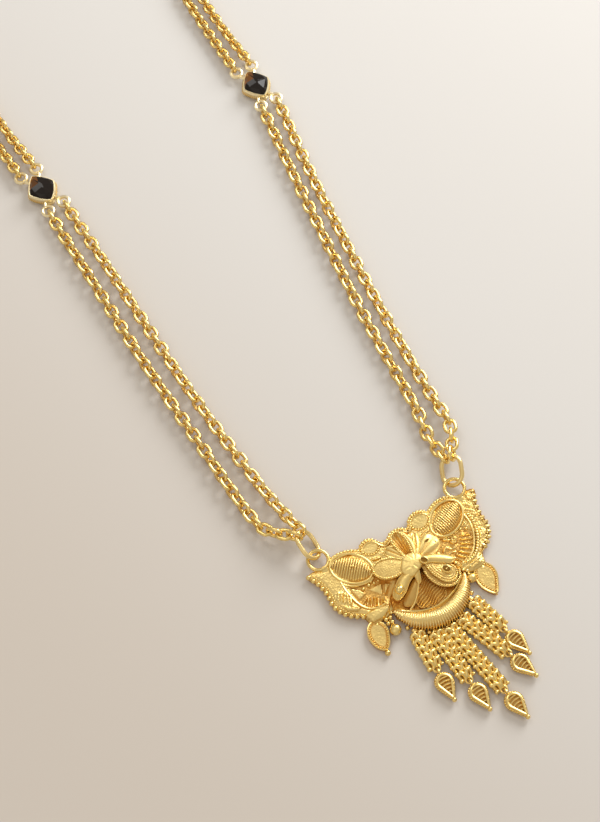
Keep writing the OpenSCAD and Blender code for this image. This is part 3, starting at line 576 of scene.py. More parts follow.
class Metalwork:
    """Collects closed parts in the pendant's frame, in millimetres, and makes one piece of them."""

    def __init__(self):
        self.verts, self.faces, self.recess, self.count = [], [], [], 0

    def add(self, verts, faces, recess=None):
        verts = np.asarray(verts, float)
        self.verts.append(verts)
        self.faces.extend([tuple(int(i) + self.count for i in f) for f in faces])
        # Each point carries a share of painted shade, none unless it is given
        self.recess.append(np.zeros(len(verts)) if recess is None else np.asarray(recess, float))
        self.count += len(verts)

    def tube(self, path, radius, sides=8, closed=False, squash=1.0, up=(0, 0, 1)):
        """A wire along a path; its radius may change, and it may be higher than it is wide."""
        path = np.asarray(path, float)
        r = np.broadcast_to(np.asarray(radius, float), (len(path),))[:, None]
        if closed:
            d = np.roll(path, -1, 0) - np.roll(path, 1, 0)
        else:
            d = np.gradient(path, axis=0)
        d /= np.linalg.norm(d, axis=1)[:, None]
        side = np.cross(d, up)
        side /= np.linalg.norm(side, axis=1)[:, None]
        top = np.cross(side, d)
        a = around(sides)
        ring = (path[:, None] + side[:, None] * (r * np.cos(a))[..., None]
                + top[:, None] * (r * squash * np.sin(a))[..., None])
        self.add(ring.reshape(-1, 3), skin(len(path), sides, closed))

    def lathe(self, at, profile, sides=20, scale=(1, 1), turn=0):
        """A turned form: the profile is (radius, height) from the bottom to the top."""
        rings = [ellipse(at, r * scale[0], r * scale[1], turn, sides, at[2] + z)
                 for r, z in profile]
        self.add(np.concatenate(rings), skin(len(rings), sides, rising=True))

    def ball(self, at, r, sides=16):
        rows = max(6, sides // 2)
        steps = [math.pi * (i + 0.5) / rows for i in range(rows)]
        self.lathe(at, [(r * math.sin(a), -r * math.cos(a)) for a in steps], sides)

    def relief(self, outline, spacing, height, floor=0.0, recess=None):
        """A plate with a modelled top: height(x, y, d) gives the top, d is the way to the edge."""
        ring = resample_ring(np.asarray(outline, float)[:, :2], spacing)
        low, high = ring.min(0), ring.max(0)
        gx, gy = np.meshgrid(np.arange(low[0], high[0], spacing),
                             np.arange(low[1], high[1], spacing * GRID_ROW))
        gx[1::2] += spacing / 2
        grid = np.stack([gx.ravel(), gy.ravel()], 1)
        grid = grid[inside(ring, grid)]
        grid = grid[edge_distance(ring, grid) > spacing * GRID_MARGIN]
        count = len(ring)
        got = delaunay_2d_cdt([Vector(p) for p in (*ring, *grid)], [], [list(range(count))], 1,
                              1e-6)
        flat = np.array([tuple(v) for v in got[0]])
        edge = [i for i, source in enumerate(got[3]) if source and min(source) < count]
        edge.sort(key=lambda i: min(got[3][i]))
        d = edge_distance(ring, flat)
        d[edge] = 0
        verts = np.concatenate([np.column_stack([flat, height(flat[:, 0], flat[:, 1], d)]),
                                np.column_stack([flat[edge], np.full(len(edge), floor)])])
        area = sum(flat[a][0] * flat[b][1] - flat[b][0] * flat[a][1]
                   for a, b in zip(edge, edge[1:] + edge[:1]))
        way = -1 if area > 0 else 1
        n, m = len(flat), len(edge)
        faces = [tuple(f) for f in got[2]]
        faces += [(edge[k], edge[(k + 1) % m], n + (k + 1) % m, n + k)[::way] for k in range(m)]
        faces.append(tuple(range(n, n + m))[::way])
        mask = np.zeros(len(verts))
        # Painted shade on the top, as the given function says, and on all the walls
        if recess is not None:
            mask[:n] = recess(flat[:, 0], flat[:, 1], d)
            mask[n:] = WALL_PAINTED_SHADE
        self.add(verts, faces, mask)

    def piece(self, name, material, nodes, slot, sharp=40):
        """Makes the object, with its place in its mesh, and hands it to the frame."""
        verts = metres(np.concatenate(self.verts))
        mesh = bpy.data.meshes.new(name)
        mesh.from_pydata(verts.tolist(), [], self.faces)
        mesh.polygons.foreach_set("use_smooth", [True] * len(mesh.polygons))
        # The painted shade goes with the mesh as a point attribute that the gold reads
        mark = mesh.attributes.new("recess", "FLOAT", "POINT")
        mark.data.foreach_set("value", np.concatenate(self.recess).astype(np.float32))
        mesh.validate()
        work = bmesh.new()
        work.from_mesh(mesh)
        bmesh.ops.dissolve_degenerate(work, dist=2e-7, edges=work.edges)
        work.to_mesh(mesh)
        work.free()
        mesh.set_sharp_from_angle(angle=math.radians(sharp))
        mesh.materials.append(material)
        return hand_over(new_object(name, mesh), nodes)


# ---- geometry nodes ----------------------------------------------------------------------------

def shared(name, make):
    """The node group of that name, which is built on its first use."""
    return bpy.data.node_groups.get(name) or make(name)


def start_tree(name, inputs):
    """A new geometry tree, and the outputs that its nodes read its named inputs from."""
    tree = bpy.data.node_groups.new(name, "GeometryNodeTree")
    for way in ("OUTPUT", "INPUT"):
        tree.interface.new_socket("Geometry", in_out=way, socket_type="NodeSocketGeometry")
    for label, value in inputs.items():
        kind = "NodeSocketInt" if isinstance(value, int) else "NodeSocketFloat"
        socket = tree.interface.new_socket(label, in_out="INPUT", socket_type=kind)
        socket.default_value = value
    tree.interface.new_socket("Material", in_out="INPUT", socket_type="NodeSocketMaterial")
    return tree, tree.nodes.new("NodeGroupInput").outputs


def wire_up(tree, node, links):
    """Links pairs a node's input names or numbers with outputs or plain values."""
    for key, value in links:
        if isinstance(value, bpy.types.NodeSocket):
            tree.links.new(value, node.inputs[key])
        else:
            node.inputs[key].default_value = value


def add_node(tree, kind, links=(), **settings):
    node = tree.nodes.new(kind)
    for key, value in settings.items():
        setattr(node, key, value)
    wire_up(tree, node, links)
    return node


def maths(tree, operation, a, b=0.0):
    return add_node(tree, "ShaderNodeMath", [(0, a), (1, b)], operation=operation).outputs[0]


def vector_maths(tree, operation, *links):
    return add_node(tree, "ShaderNodeVectorMath", links, operation=operation).outputs[0]


def round_wire(tree, steps, radius):
    return add_node(tree, "GeometryNodeCurvePrimitiveCircle",
                    [("Resolution", steps), ("Radius", radius)]).outputs[0]


def swept(tree, line, profile, caps=False):
    return add_node(tree, "GeometryNodeCurveToMesh",
                    [(0, line), (1, profile), ("Fill Caps", caps)]).outputs[0]


def even_path(tree, given, step):
    curve = add_node(tree, "GeometryNodeMeshToCurve", [(0, given["Geometry"])])
    return add_node(tree, "GeometryNodeResampleCurve",
                    [("Curve", curve.outputs[0]), ("Length", step)], mode="LENGTH").outputs[0]


def laid_on(tree, points, shape, *more):
    return add_node(tree, "GeometryNodeInstanceOnPoints",
                    [("Points", points), ("Instance", shape), *more]).outputs[0]


def point_mark(tree, name):
    """A vector that the points carry."""
    return add_node(tree, "GeometryNodeInputNamedAttribute", [("Name", name)],
                    data_type="FLOAT_VECTOR").outputs[0]


def point_turn(tree):
    return add_node(tree, "FunctionNodeEulerToRotation",
                    [(0, point_mark(tree, "turn"))]).outputs[0]


def close_tree(tree, given, geometry):
    """Realize Instances and Set Material end every tree."""
    smooth = add_node(tree, "GeometryNodeSetShadeSmooth", [("Geometry", geometry)])
    real = add_node(tree, "GeometryNodeRealizeInstances", [(0, smooth.outputs[0])])
    paint = add_node(tree, "GeometryNodeSetMaterial",
                     [("Geometry", real.outputs[0]), ("Material", given["Material"])])
    add_node(tree, "NodeGroupOutput", [(0, paint.outputs[0])])
    return tree


def wire_links_tree(name):
    """Oval wire links on points, turned by the points' marks."""
    tree, given = start_tree(name, {"Length": 0.003, "Width": 0.0025, "Wire Radius": 0.00025,
                                    "Steps": 16, "Sides": 6})
    mean = maths(tree, "SUBTRACT", maths(tree, "MULTIPLY", given["Width"], 0.5),
                 given["Wire Radius"])
    half = maths(tree, "MULTIPLY", maths(tree, "SUBTRACT", given["Length"], given["Width"]), 0.5)
    place = add_node(tree, "ShaderNodeSeparateXYZ",
                     [(0, add_node(tree, "GeometryNodeInputPosition").outputs[0])])
    shift = add_node(tree, "ShaderNodeCombineXYZ",
                     [(1, maths(tree, "MULTIPLY", maths(tree, "SIGN", place.outputs[1]), half))])
    longer = add_node(tree, "GeometryNodeSetPosition",
                      [("Geometry", round_wire(tree, given["Steps"], mean)),
                       ("Offset", shift.outputs[0])])
    link = swept(tree, longer.outputs[0], round_wire(tree, given["Sides"], given["Wire Radius"]))
    laid = laid_on(tree, given["Geometry"], link, ("Rotation", point_turn(tree)))
    return close_tree(tree, given, laid)


def hoops_tree(name):
    """Ribs: round hoops on points, turned and stretched by the points' marks."""
    tree, given = start_tree(name, {"Rib Share": 0.06, "Steps": 20, "Sides": 6})
    line = round_wire(tree, given["Steps"], maths(tree, "SUBTRACT", 1.0, given["Rib Share"]))
    hoop = swept(tree, line, round_wire(tree, given["Sides"], given["Rib Share"]))
    laid = laid_on(tree, given["Geometry"], hoop, ("Rotation", point_turn(tree)),
                   ("Scale", point_mark(tree, "size")))
    return close_tree(tree, given, laid)


def beads_tree(name):
    """Round beads at an even spacing along a path."""
    tree, given = start_tree(name, {"Bead Radius": 0.0004, "Spacing": 0.001, "Detail": 2})
    bead = add_node(tree, "GeometryNodeMeshIcoSphere",
                    [("Radius", given["Bead Radius"]), ("Subdivisions", given["Detail"])])
    laid = laid_on(tree, even_path(tree, given, given["Spacing"]), bead.outputs[0])
    return close_tree(tree, given, laid)


def rope_tree(name):
    """Two strands twisted round a path."""
    tree, given = start_tree(name, {"Strand Radius": 0.00016, "Twist Length": 0.001, "Sides": 5})
    radius, twist = given["Strand Radius"], given["Twist Length"]
    even = even_path(tree, given, maths(tree, "DIVIDE", twist, ROPE_STEPS))
    tangent = add_node(tree, "GeometryNodeInputTangent").outputs[0]
    level = vector_maths(tree, "CROSS_PRODUCT", (0, tangent), (1, (0, 0, 1)))
    across = vector_maths(tree, "NORMALIZE", (0, level))
    over = vector_maths(tree, "CROSS_PRODUCT", (0, across), (1, tangent))
    along = add_node(tree, "GeometryNodeSplineParameter").outputs["Length"]
    angle = maths(tree, "MULTIPLY", maths(tree, "DIVIDE", along, twist), TAU)
    profile = round_wire(tree, given["Sides"], radius)
    join = add_node(tree, "GeometryNodeJoinGeometry")
    for phase in (0.0, math.pi):
        a = maths(tree, "ADD", angle, phase)
        parts = []
        for axis, operation in ((across, "COSINE"), (over, "SINE")):
            reach = maths(tree, "MULTIPLY", maths(tree, operation, a), radius)
            parts.append(vector_maths(tree, "SCALE", (0, axis), ("Scale", reach)))
        moved = add_node(tree, "GeometryNodeSetPosition",
                         [("Geometry", even),
                          ("Offset", vector_maths(tree, "ADD", *enumerate(parts)))])
        tree.links.new(swept(tree, moved.outputs[0], profile, True), join.inputs[0])
    return close_tree(tree, given, join.outputs[0])


def grow(name, tree, values, points, edges=(), marks=None):
    """Runs a tree on points or paths and returns the plain mesh object."""
    mesh = bpy.data.meshes.new(name)
    mesh.from_pydata([tuple(p) for p in metres(points)], list(edges), [])
    for label, rows in (marks or {}).items():
        mark = mesh.attributes.new(label, "FLOAT_VECTOR", "POINT")
        mark.data.foreach_set("vector", np.asarray(rows, np.float32).ravel())
    obj = new_object(name, mesh)
    modifier = obj.modifiers.new("Build", "NODES")
    modifier.node_group = tree
    for item in tree.interface.items_tree:
        if item.item_type == "SOCKET" and item.in_out == "INPUT" and item.name in values:
            modifier[item.identifier] = values[item.name]
    bpy.context.view_layer.update()
    graph = bpy.context.evaluated_depsgraph_get()
    made = bpy.data.meshes.new_from_object(obj.evaluated_get(graph), depsgraph=graph)
    obj.modifiers.clear()
    obj.data = made
    made.name = name
    if not made.polygons:
        raise RuntimeError(f"{name} came out empty")
    return obj


def grow_along(name, tree, values, paths):
    """Runs a tree on several paths; each is (points, closed)."""
    points, edges, count = [], [], 0
    for path, closed in paths:
        n = len(path)
        points.extend(path)
        edges.extend((count + i, count + i + 1) for i in range(n - 1))
        if closed:
            edges.append((count + n - 1, count))
        count += n
    return grow(name, tree, values, np.array(points, float), edges)


def string_beads(name, radius, spacing, detail, paths, nodes=PENDANT):
    """Polished beads along paths."""
    obj = grow_along(name, shared("Beads along a path", beads_tree),
                     {"Bead Radius": radius, "Spacing": spacing, "Detail": detail,
                      "Material": gold("Polished gold")}, paths)
    hand_over(obj, nodes)


def lay_rope(name, radius, twist, paths, nodes=PENDANT):
    """Polished twisted wire along paths."""
    obj = grow_along(name, shared("Twisted rope", rope_tree),
                     {"Strand Radius": radius, "Twist Length": twist, "Sides": 5,
                      "Material": gold("Polished gold")}, paths)
    hand_over(obj, nodes)


def lay_links(name, size, detail, finish, spots, turns, node):
    """Wire links; the size is length, width and wire radius, the detail steps and sides."""
    obj = grow(name, shared("Wire links", wire_links_tree),
               {"Length": size[0], "Width": size[1], "Wire Radius": size[2], "Steps": detail[0],
                "Sides": detail[1], "Material": gold(finish)}, spots, marks={"turn": turns})
    hand_over(obj, [node])


def lay_ribs(name, detail, finish, spots, turns, scales):
    """Round ribs across a form, with their scales in millimetres."""
    return grow(name, shared("Ribs", hoops_tree),
                {"Rib Share": RIB_SHARE, "Steps": detail[0], "Sides": detail[1],
                 "Material": gold(finish)}, spots,
                marks={"turn": turns, "size": np.array(scales) * MM})


# ---- finishes ----------------------------------------------------------------------------------

def shader_group(name, inputs, outputs):
    """A new group of plain numbers, and the outputs that its nodes read its inputs from."""
    group = bpy.data.node_groups.new(name, "ShaderNodeTree")
    for label, value in inputs.items():
        socket = group.interface.new_socket(label, in_out="INPUT", socket_type="NodeSocketFloat")
        socket.default_value = value
    for label in outputs:
        group.interface.new_socket(label, in_out="OUTPUT", socket_type="NodeSocketFloat")
    return group, group.nodes.new("NodeGroupInput").outputs


def object_place(tree):
    return add_node(tree, "ShaderNodeTexCoord").outputs["Object"]


def handling_wear_group(name):
    """Soft patches of duller and brighter metal, from handling."""
    group, given = shader_group(
        name, {"Scale": 300.0, "Roughness Low": 0.2, "Roughness High": 0.35},
        ("Roughness", "Mask"))
    noise = add_node(group, "ShaderNodeTexNoise",
                     [("Vector", object_place(group)), ("Scale", given["Scale"]),
                      ("Detail", 4.0)]).outputs["Fac"]
    spread = add_node(group, "ShaderNodeMapRange",
                      [("Value", noise), ("From Min", 0.3), ("From Max", 0.7),
                       ("To Min", given["Roughness Low"]), ("To Max", given["Roughness High"])])
    add_node(group, "NodeGroupOutput", [("Roughness", spread.outputs[0]), ("Mask", noise)])
    return group


def stipple_group(name):
    """The punched grain of the satin fields, as a height."""
    group, given = shader_group(name, {"Scale": STIPPLE_SCALE, "Depth": 1.0}, ("Height",))
    place = object_place(group)
    cells = add_node(group, "ShaderNodeTexVoronoi", [("Vector", place), ("Scale", given["Scale"])])
    noise = add_node(group, "ShaderNodeTexNoise",
                     [("Vector", place), ("Scale", maths(group, "MULTIPLY", given["Scale"], 0.6)),
                      ("Detail", 3.0)])
    both = maths(group, "ADD", cells.outputs["Distance"], noise.outputs["Fac"])
    add_node(group, "NodeGroupOutput",
             [("Height", maths(group, "MULTIPLY", both, given["Depth"]))])
    return group


def recess_group(name):
    """Where shade is painted: the piece's own mark, and more where the height above the surface is
    low.
    """
    group, given = shader_group(name, {"Low": 0.0002, "High": 0.0012, "Amount": 0.5}, ("Mask",))
    place = add_node(group, "ShaderNodeSeparateXYZ", [(0, object_place(group))])
    low = add_node(group, "ShaderNodeMapRange",
                   [("Value", place.outputs[2]), ("From Min", given["Low"]),
                    ("From Max", given["High"]), ("To Min", 1.0), ("To Max", 0.0)])
    down = maths(group, "MULTIPLY", low.outputs[0], given["Amount"])
    mark = add_node(group, "ShaderNodeAttribute", attribute_name="recess").outputs["Fac"]
    both = add_node(group, "ShaderNodeMath", [(0, down), (1, mark)], operation="ADD",
                    use_clamp=True)
    add_node(group, "NodeGroupOutput", [("Mask", both.outputs[0])])
    return group


def new_material(name):
    material = bpy.data.materials.new(name)
    material.use_nodes = True
    return material, material.node_tree, material.node_tree.nodes["Principled BSDF"]


def mixed(tree, share, first, second, way="MIX"):
    """A blend of two colours."""
    return add_node(tree, "ShaderNodeMix", [(0, share), (6, first), (7, second)],
                    data_type="RGBA", blend_type=way).outputs[2]


def worn(tree, scale, low, high):
    """Places the wear group, and gives its outputs."""
    return add_node(tree, "ShaderNodeGroup",
                    [("Scale", scale), ("Roughness Low", low), ("Roughness High", high)],
                    node_tree=shared("Handling wear", handling_wear_group)).outputs


def gold(name):
    """A gold finish: wear in the roughness, painted shade as a deeper colour in hollows and low
    down, and punched grain.
    """
    if name in bpy.data.materials:
        return bpy.data.materials[name]
    own = {**PLAIN_GOLD, **FINISHES[name]}
    finish = bpy.context.scene.necklace_finish
    material, tree, shader = new_material(name)
    middle, spread = getattr(finish, own["base"]) + own["more"], own["spread"] / 2
    wear = worn(tree, 260.0, max(0.04, middle - spread), middle + spread)
    deep = add_node(tree, "ShaderNodeGroup",
                    [("Low", own["low"]), ("High", own["high"]), ("Amount", own["amount"])],
                    node_tree=shared("Deep metal", recess_group))
    # The gold turns to the painted shade colour where the mask says
    tint = mixed(tree, deep.outputs["Mask"], (*getattr(finish, own["colour"]), 1),
                 (*[c * own["tone"] for c in finish.gold_painted_shade], 1))
    tone = add_node(tree, "ShaderNodeMapRange",
                    [("Value", wear["Mask"]), ("From Min", 0.35), ("From Max", 0.75),
                     ("To Min", 0.0), ("To Max", 0.35)])
    stipple = add_node(tree, "ShaderNodeGroup", [("Scale", STIPPLE_SCALE)],
                       node_tree=shared("Punched grain", stipple_group))
    bump = add_node(tree, "ShaderNodeBump",
                    [("Strength", own["grain"]), ("Distance", STIPPLE_DEPTH),
                     ("Height", stipple.outputs["Height"])])
    wire_up(tree, shader, [
        ("Base Color", mixed(tree, tone.outputs[0], tint, WORN_TINT, "MULTIPLY")),
        ("Roughness", wear["Roughness"]), ("Metallic", 1.0), ("Normal", bump.outputs["Normal"])])
    return material


def black_stone():
    """Glossy black, with a warm glint painted as colour on the facets that are marked for it:
    painted reflection.
    """
    name = "Black stone"
    if name in bpy.data.materials:
        return bpy.data.materials[name]
    material, tree, shader = new_material(name)
    mark = add_node(tree, "ShaderNodeAttribute", attribute_name="glow")
    body = (*bpy.context.scene.necklace_finish.stone, 1)
    wire_up(tree, shader, [
        ("Base Color", mixed(tree, mark.outputs["Fac"], body, STONE_PAINTED_GLINT)),
        ("Roughness", worn(tree, 500.0, 0.03, 0.1)["Roughness"]),
        ("IOR", 1.5), ("Specular IOR Level", 0.28)])
    return material


# ---- pendant -----------------------------------------------------------------------------------

def grain_height(x, y, pitch):
    """A punched, hammered surface of soft pits and grains."""
    k = TAU / pitch
    return (np.sin(k * x + 1.9 * np.sin(0.8 * k * y)) * np.sin(k * y + 2.3 * np.sin(0.7 * k * x))
            + 0.5 * np.sin(1.9 * k * (x + 0.6 * y)) * np.sin(1.7 * k * (y - 0.5 * x)))


def wing_ridges():
    """Ribs, strokes, scrolls and small leaves that stand on the wings' fields."""
    lines = [(rib, 0.2, 0.5) for rib in RIBS] + [(stroke, 0.2, 0.25) for stroke in STROKES]
    lines += [(curl(at, r, start, way), 0.22, high) for at, r, start, way, high in SCROLLS]
    lines += [(((side * x, y), (side * (x + dx), y + dy)), 0.28, 0.45)
              for side in (-1, 1) for x, y, dx, dy in LEAFLETS]
    return lines


def raised(x, y):
    """Height of the wings' flat plates, with crisp edges."""
    points = np.stack([x, y], 1)
    out = np.zeros(len(points))
    for outline, rise in PLATES:
        ring = np.array(outline, float)
        near = ((points > ring.min(0)) & (points < ring.max(0))).all(1)
        some = points[near]
        share = np.clip(edge_distance(ring, some) / 0.2, 0, 1) * inside(ring, some)
        out[near] = np.maximum(out[near], rise * share)
    return out


def inner_field(x, y):
    """1 in the wings' inner fields, which lie lower, and 0 in the puffed outer bands."""
    return np.clip(3 * (1.32 - np.hypot((np.abs(x) - 9) / 3.4, (y + 9.4) / 3.2)), 0, 1)


def wing_height(x, y, d):
    # The right edge is flatter than the rest
    flat = np.clip((x - 11) / 2, 0, 1)
    puff = 0.6 * np.clip(d / 1.2, 0, 1) ** 0.6
    z = PLATE_T + puff + flat * (0.4 * np.clip(d / 0.4, 0, 1) - puff)
    z -= 0.3 * (1 - flat) * np.clip(1 - d / 0.3, 0, 1) ** 2
    z -= 0.4 * inner_field(x, y)
    plates = raised(x, y)
    z += np.where(x > 12, 0.075, 0.025) * grain_height(x, y, 0.5) * (plates == 0)
    return z + plates + ridges(x, y, wing_ridges())


def wing_recess(x, y, d):
    """Painted shade on the wings' low fields and plate rims: 1 where darkest, 0 where none is
    painted.
    """
    high = ridges(x, y, wing_ridges())
    plates = raised(x, y)
    ground = (0.14 + 0.5 * inner_field(x, y)) * np.clip(1 - high / 0.25, 0, 1)
    rim = 0.75 * ((plates > 0) & (plates < 0.12))
    deep = np.where(plates > 0.12, 0.05, np.clip(np.maximum(ground, rim), 0, 1)) * (d > 0.2)
    # Painted shade between the teeth of the right edge
    return np.maximum(deep, 0.9 * (x > 12.4) * np.clip(1.5 - d / 0.5, 0, 1))


def build_plate():
    body = Metalwork()
    outline = WING + [(-x, y) for x, y in WING[-2:0:-1]]
    body.relief(smooth_path(outline, 3, closed=True), 0.15, wing_height, recess=wing_recess)
    # Land under the crescent, deep between the petals, all in painted shade
    land = ellipse(CRESCENT_AT, LAND_R, LAND_R, 0, 40, 0, math.radians(-150), math.radians(-30))
    body.relief([*land[:, :2], *LAND_TOP], 0.25,
                lambda x, y, d: 0.7 + 0.05 * grain_height(x, y, 1.1),
                recess=lambda x, y, d: np.ones(len(x)))
    # The crest, with light painted shade away from its edge
    body.relief(ellipse(CREST_AT, CREST_R, CREST_R, 0, 40), 0.17,
                lambda x, y, d: 0.95 + 0.5 * np.clip(d / 1.2, 0, 1) ** 0.6,
                recess=lambda x, y, d: 0.3 * (d > 0.4))
    body.piece("pendant_wings", gold("Satin gold"), PENDANT, "satin_gold", 50)


def build_ovals():
    sizes = bpy.context.scene.necklace_pendant
    body, rims = Metalwork(), Metalwork()
    spots, turns, scales, grains, dots = [], [], [], [], []
    for side in (-1, 1):
        at = (side * OVAL_AT[0], OVAL_AT[1])
        turn, long_r, rib_turn = BIG_OVALS[side]
        c, s = cos_sin(turn)

        def oval(more, z=0.0):
            return ellipse(at, long_r + more, OVAL_B + more, turn, 60, z)

        def dark(x, y, d):
            # Painted shade on the ground and inside the rim; the right oval is dark on one side of
            # its seam only
            off = (y - at[1]) * c - (x - at[0]) * s
            ground = np.where(off > 0.5, 0.3, 0.95) if side > 0 else 0.6
            return (d > 0.4) * np.maximum(ground, 0.95 * (d < 0.95))

        body.relief(oval(OVAL_RIM), 0.2,
                    lambda x, y, d: 1.2 + 0.5 * (1 - np.clip(1 - d / 2.2, 0, 1) ** 2),
                    recess=dark)
        rims.tube(oval(0.2, 1.45), 0.28, 8, True)
        grains.append((oval(0.6, 1.28), True))
        # Each rib is a hoop across the oval, cut off by the oval's outline
        rib = unit([*cos_sin(rib_turn), 0])
        across = np.cross(rib, (0, 0, 1))
        p = across[0] * c + across[1] * s
        q = across[1] * c - across[0] * s
        a, b = long_r - OVAL_RIB_INSET, OVAL_B - OVAL_RIB_INSET
        half = math.hypot(a * p, b * q)
        shift = np.array([a * a * p * c - b * b * q * s, a * a * p * s + b * b * q * c, 0]) / half
        for u in middles(sizes.oval_ribs):
            k = math.sqrt(1 - u * u)
            spots.append(np.array([*at, 1.15]) + shift * u)
            turns.append(axes_turn(rib, (0, 0, 1), across))
            scales.append((a * b / half * k, 0.42 + 0.55 * k, 2.1))
        if side > 0:
            # A seam wire over the right oval's ribs
            rims.tube([(at[0] + u * long_r * c - 0.5 * s, at[1] + u * long_r * s + 0.5 * c,
                        1.6 + 0.54 * math.sqrt(1 - u * u)) for u in np.linspace(-0.82, 0.82, 14)],
                      0.12, 6)
        # Small oval: a smooth flat plate with a grained rim, and painted shade along its edge
        x, y, a, b, lean = SMALL_OVALS[side]
        body.relief(ellipse((x, y), a, b, lean, 40), 0.2,
                    lambda x, y, d: 1.42 + 0.16 * np.clip(d / 0.25, 0, 1)
                    + 0.01 * grain_height(x, y, 0.7), recess=lambda x, y, d: 0.95 * (d < 0.3))
        dots.append((ellipse((x, y), a - 0.05, b - 0.05, lean, 40, 1.55), True))
    body.ball((-9.9, -4.3, 2.1), 0.3, 12)
    body.piece("pendant_ovals", gold("Fine satin gold"), PENDANT, "satin_gold", 60)
    rims.piece("pendant_oval_rims", gold("Soft polished gold"), PENDANT, "polished_gold", 60)
    ribs = lay_ribs("pendant_oval_ribs", (18, 5), "Fine satin gold", spots, turns, scales)
    hand_over(ribs, PENDANT)
    grain = sizes.grain_radius
    string_beads("pendant_oval_grain", grain, 0.00034, 1, grains)
    string_beads("pendant_small_oval_grain", grain * 1.4, 0.00055, 2, dots)


def build_borders():
    sizes = bpy.context.scene.necklace_pendant
    grain = sizes.grain_radius

    # A border's smooth line at a height, moved, and mirrored when way is -1
    def border(points, z, dx=0.0, dy=0.0, way=1):
        return smooth_path([(way * x + dx, y + dy, z) for x, y in points], 6)

    top = border(TOP_BORDER, 1.2, dy=0.2)
    lay_rope("pendant_ropes", sizes.rope_radius, 0.0011,
             [(border(FIELD_WIRE_RIGHT, 1.4, 0.62, -0.25), False)])
    string_beads("pendant_milgrain", grain * 1.3, 0.00048, 1, [
        (top - (0, 0.3, -0.12), False),
        *[(border(BEAD_PATH, 1.35, -side * 0.85, way=side), False) for side in (-1, 1)]])
    string_beads("pendant_top_beads", grain * 2.1, 0.00064, 2, [(top, False)])
    wires = Metalwork()
    wires.tube(smooth_path([(x * 0.985, y - 0.5, 1.55) for x, y in TOP_BORDER], 6), 0.2, 8)
    for wire, r in ((FIELD_WIRE_LEFT, 0.2), (FIELD_WIRE_RIGHT, 0.22), (OVAL_FOOT_WIRE, 0.2)):
        wires.tube(border(wire, 1.42), r, 8)
    # Teeth along the right wing's outer edge, and slots of painted shade between them
    path = border(BEAD_PATH, 0.85)
    run = running(path)
    count = int(run[-1] / TOOTH_STEP)
    slots = Metalwork()
    for k in range(2 * count - 1):
        at, d = walk(path, run, run[-1] * (k / 2 + 0.5) / count)
        out = np.array([-d[1], d[0], 0]) * (1 if d[1] < 0 else -1)
        if k % 2:
            wires.tube([at - out * back + (0, 0, up) for back, up in TOOTH], TOOTH_R, 8)
        else:
            x, y, _ = at - out * SLOT_BACK
            slots.lathe((x, y, 0.6), [(1, 0), (1, 0.76)], 12, SLOT_SIZE,
                        math.degrees(math.atan2(out[1], out[0])))
    wires.piece("pendant_field_wires", gold("Soft polished gold"), PENDANT, "polished_gold")
    slots.piece("pendant_edge_slots", gold("Hollow gold"), PENDANT, "satin_gold")
    string_beads("pendant_edge_beads", sizes.bead_radius, 0.00106, 2,
                 [(border(BEAD_PATH, 0.95, 0.25, 0.1, -1), False)])


def petal_pattern(x, y, d, foot, tip, pattern):
    """Share of the way to the tip, and the wave of the petal's pattern, from -1 to 1."""
    foot, tip = np.array(foot, float), np.array(tip, float)
    length = np.linalg.norm(tip - foot)
    way = (tip - foot) / length
    along = (x - foot[0]) * way[0] + (y - foot[1]) * way[1]
    off = (y - foot[1]) * way[0] - (x - foot[0]) * way[1]
    u = np.clip(along / length, 0, 1)
    if pattern == "shell":
        wave = np.cos(TAU * np.arctan2(off, along + 0.6) / 0.115)
    elif pattern == "fold":
        wave = np.cos(TAU * (np.arctan2(off, along + 1.5) + 0.1) / 0.34)
    elif pattern == "rings":
        wave = np.cos(TAU * d / 0.38)
    elif pattern == "slit":
        wave = 1 - 2 * np.exp(-((off / 0.16) ** 2)) * (u > 0.3)
    elif pattern == "fan":
        wave = np.cos(TAU * (along + 0.55 * off + 0.12 * np.sin(2.3 * off)) / 0.55)
    else:
        wave = grain_height(x, y, 0.7) * (0.7 if pattern == "hatch" else 0.3)
    return u, wave


def add_petal(body, outline, foot, tip, z0, z1, rise, pattern, floor=0.7):
    """A petal with its pattern; its walls drop to the ground. Gives the line of its edge."""
    def level(u):
        return z0 + (z1 - z0) * u + 0.2 * np.sin(math.pi * u)

    def height(x, y, d):
        u, wave = petal_pattern(x, y, d, foot, tip, pattern)
        share = np.clip(d / d.max(), 0, 1)
        bulge = 1 - (1 - share) ** 2 if rise > 0 else np.sin(share * math.pi / 2)
        return level(u) + rise * bulge + PATTERN_DEPTH[pattern] * wave * np.clip(d / 0.2, 0, 1)

    # Painted shade in the pattern's grooves, and towards the middle of a hollowed petal
    def recess(x, y, d):
        wave = petal_pattern(x, y, d, foot, tip, pattern)[1]
        share = np.clip(d / d.max(), 0, 1)
        return np.clip(0.45 * np.clip(-wave, 0, 1) + (0.5 * share if rise < 0 else 0), 0, 1)

    ring = smooth_path(outline, 5, closed=True)
    body.relief(ring, 0.12, height, floor=floor, recess=recess)
    edge = resample_ring(ring, 0.3)
    u = petal_pattern(edge[:, 0], edge[:, 1], 0, foot, tip, "plain")[0]
    return np.column_stack([edge, level(u)])


def hub_height(x, y, d):
    """The flower's flat middle, with soft creases."""
    grooves = ridges(x, y, [(((a, b), (p, q)), 0.2, 0.09) for a, b, p, q in CREASES])
    return 3.65 + 0.55 * np.clip(d / 1.3, 0, 1) ** 0.5 - grooves


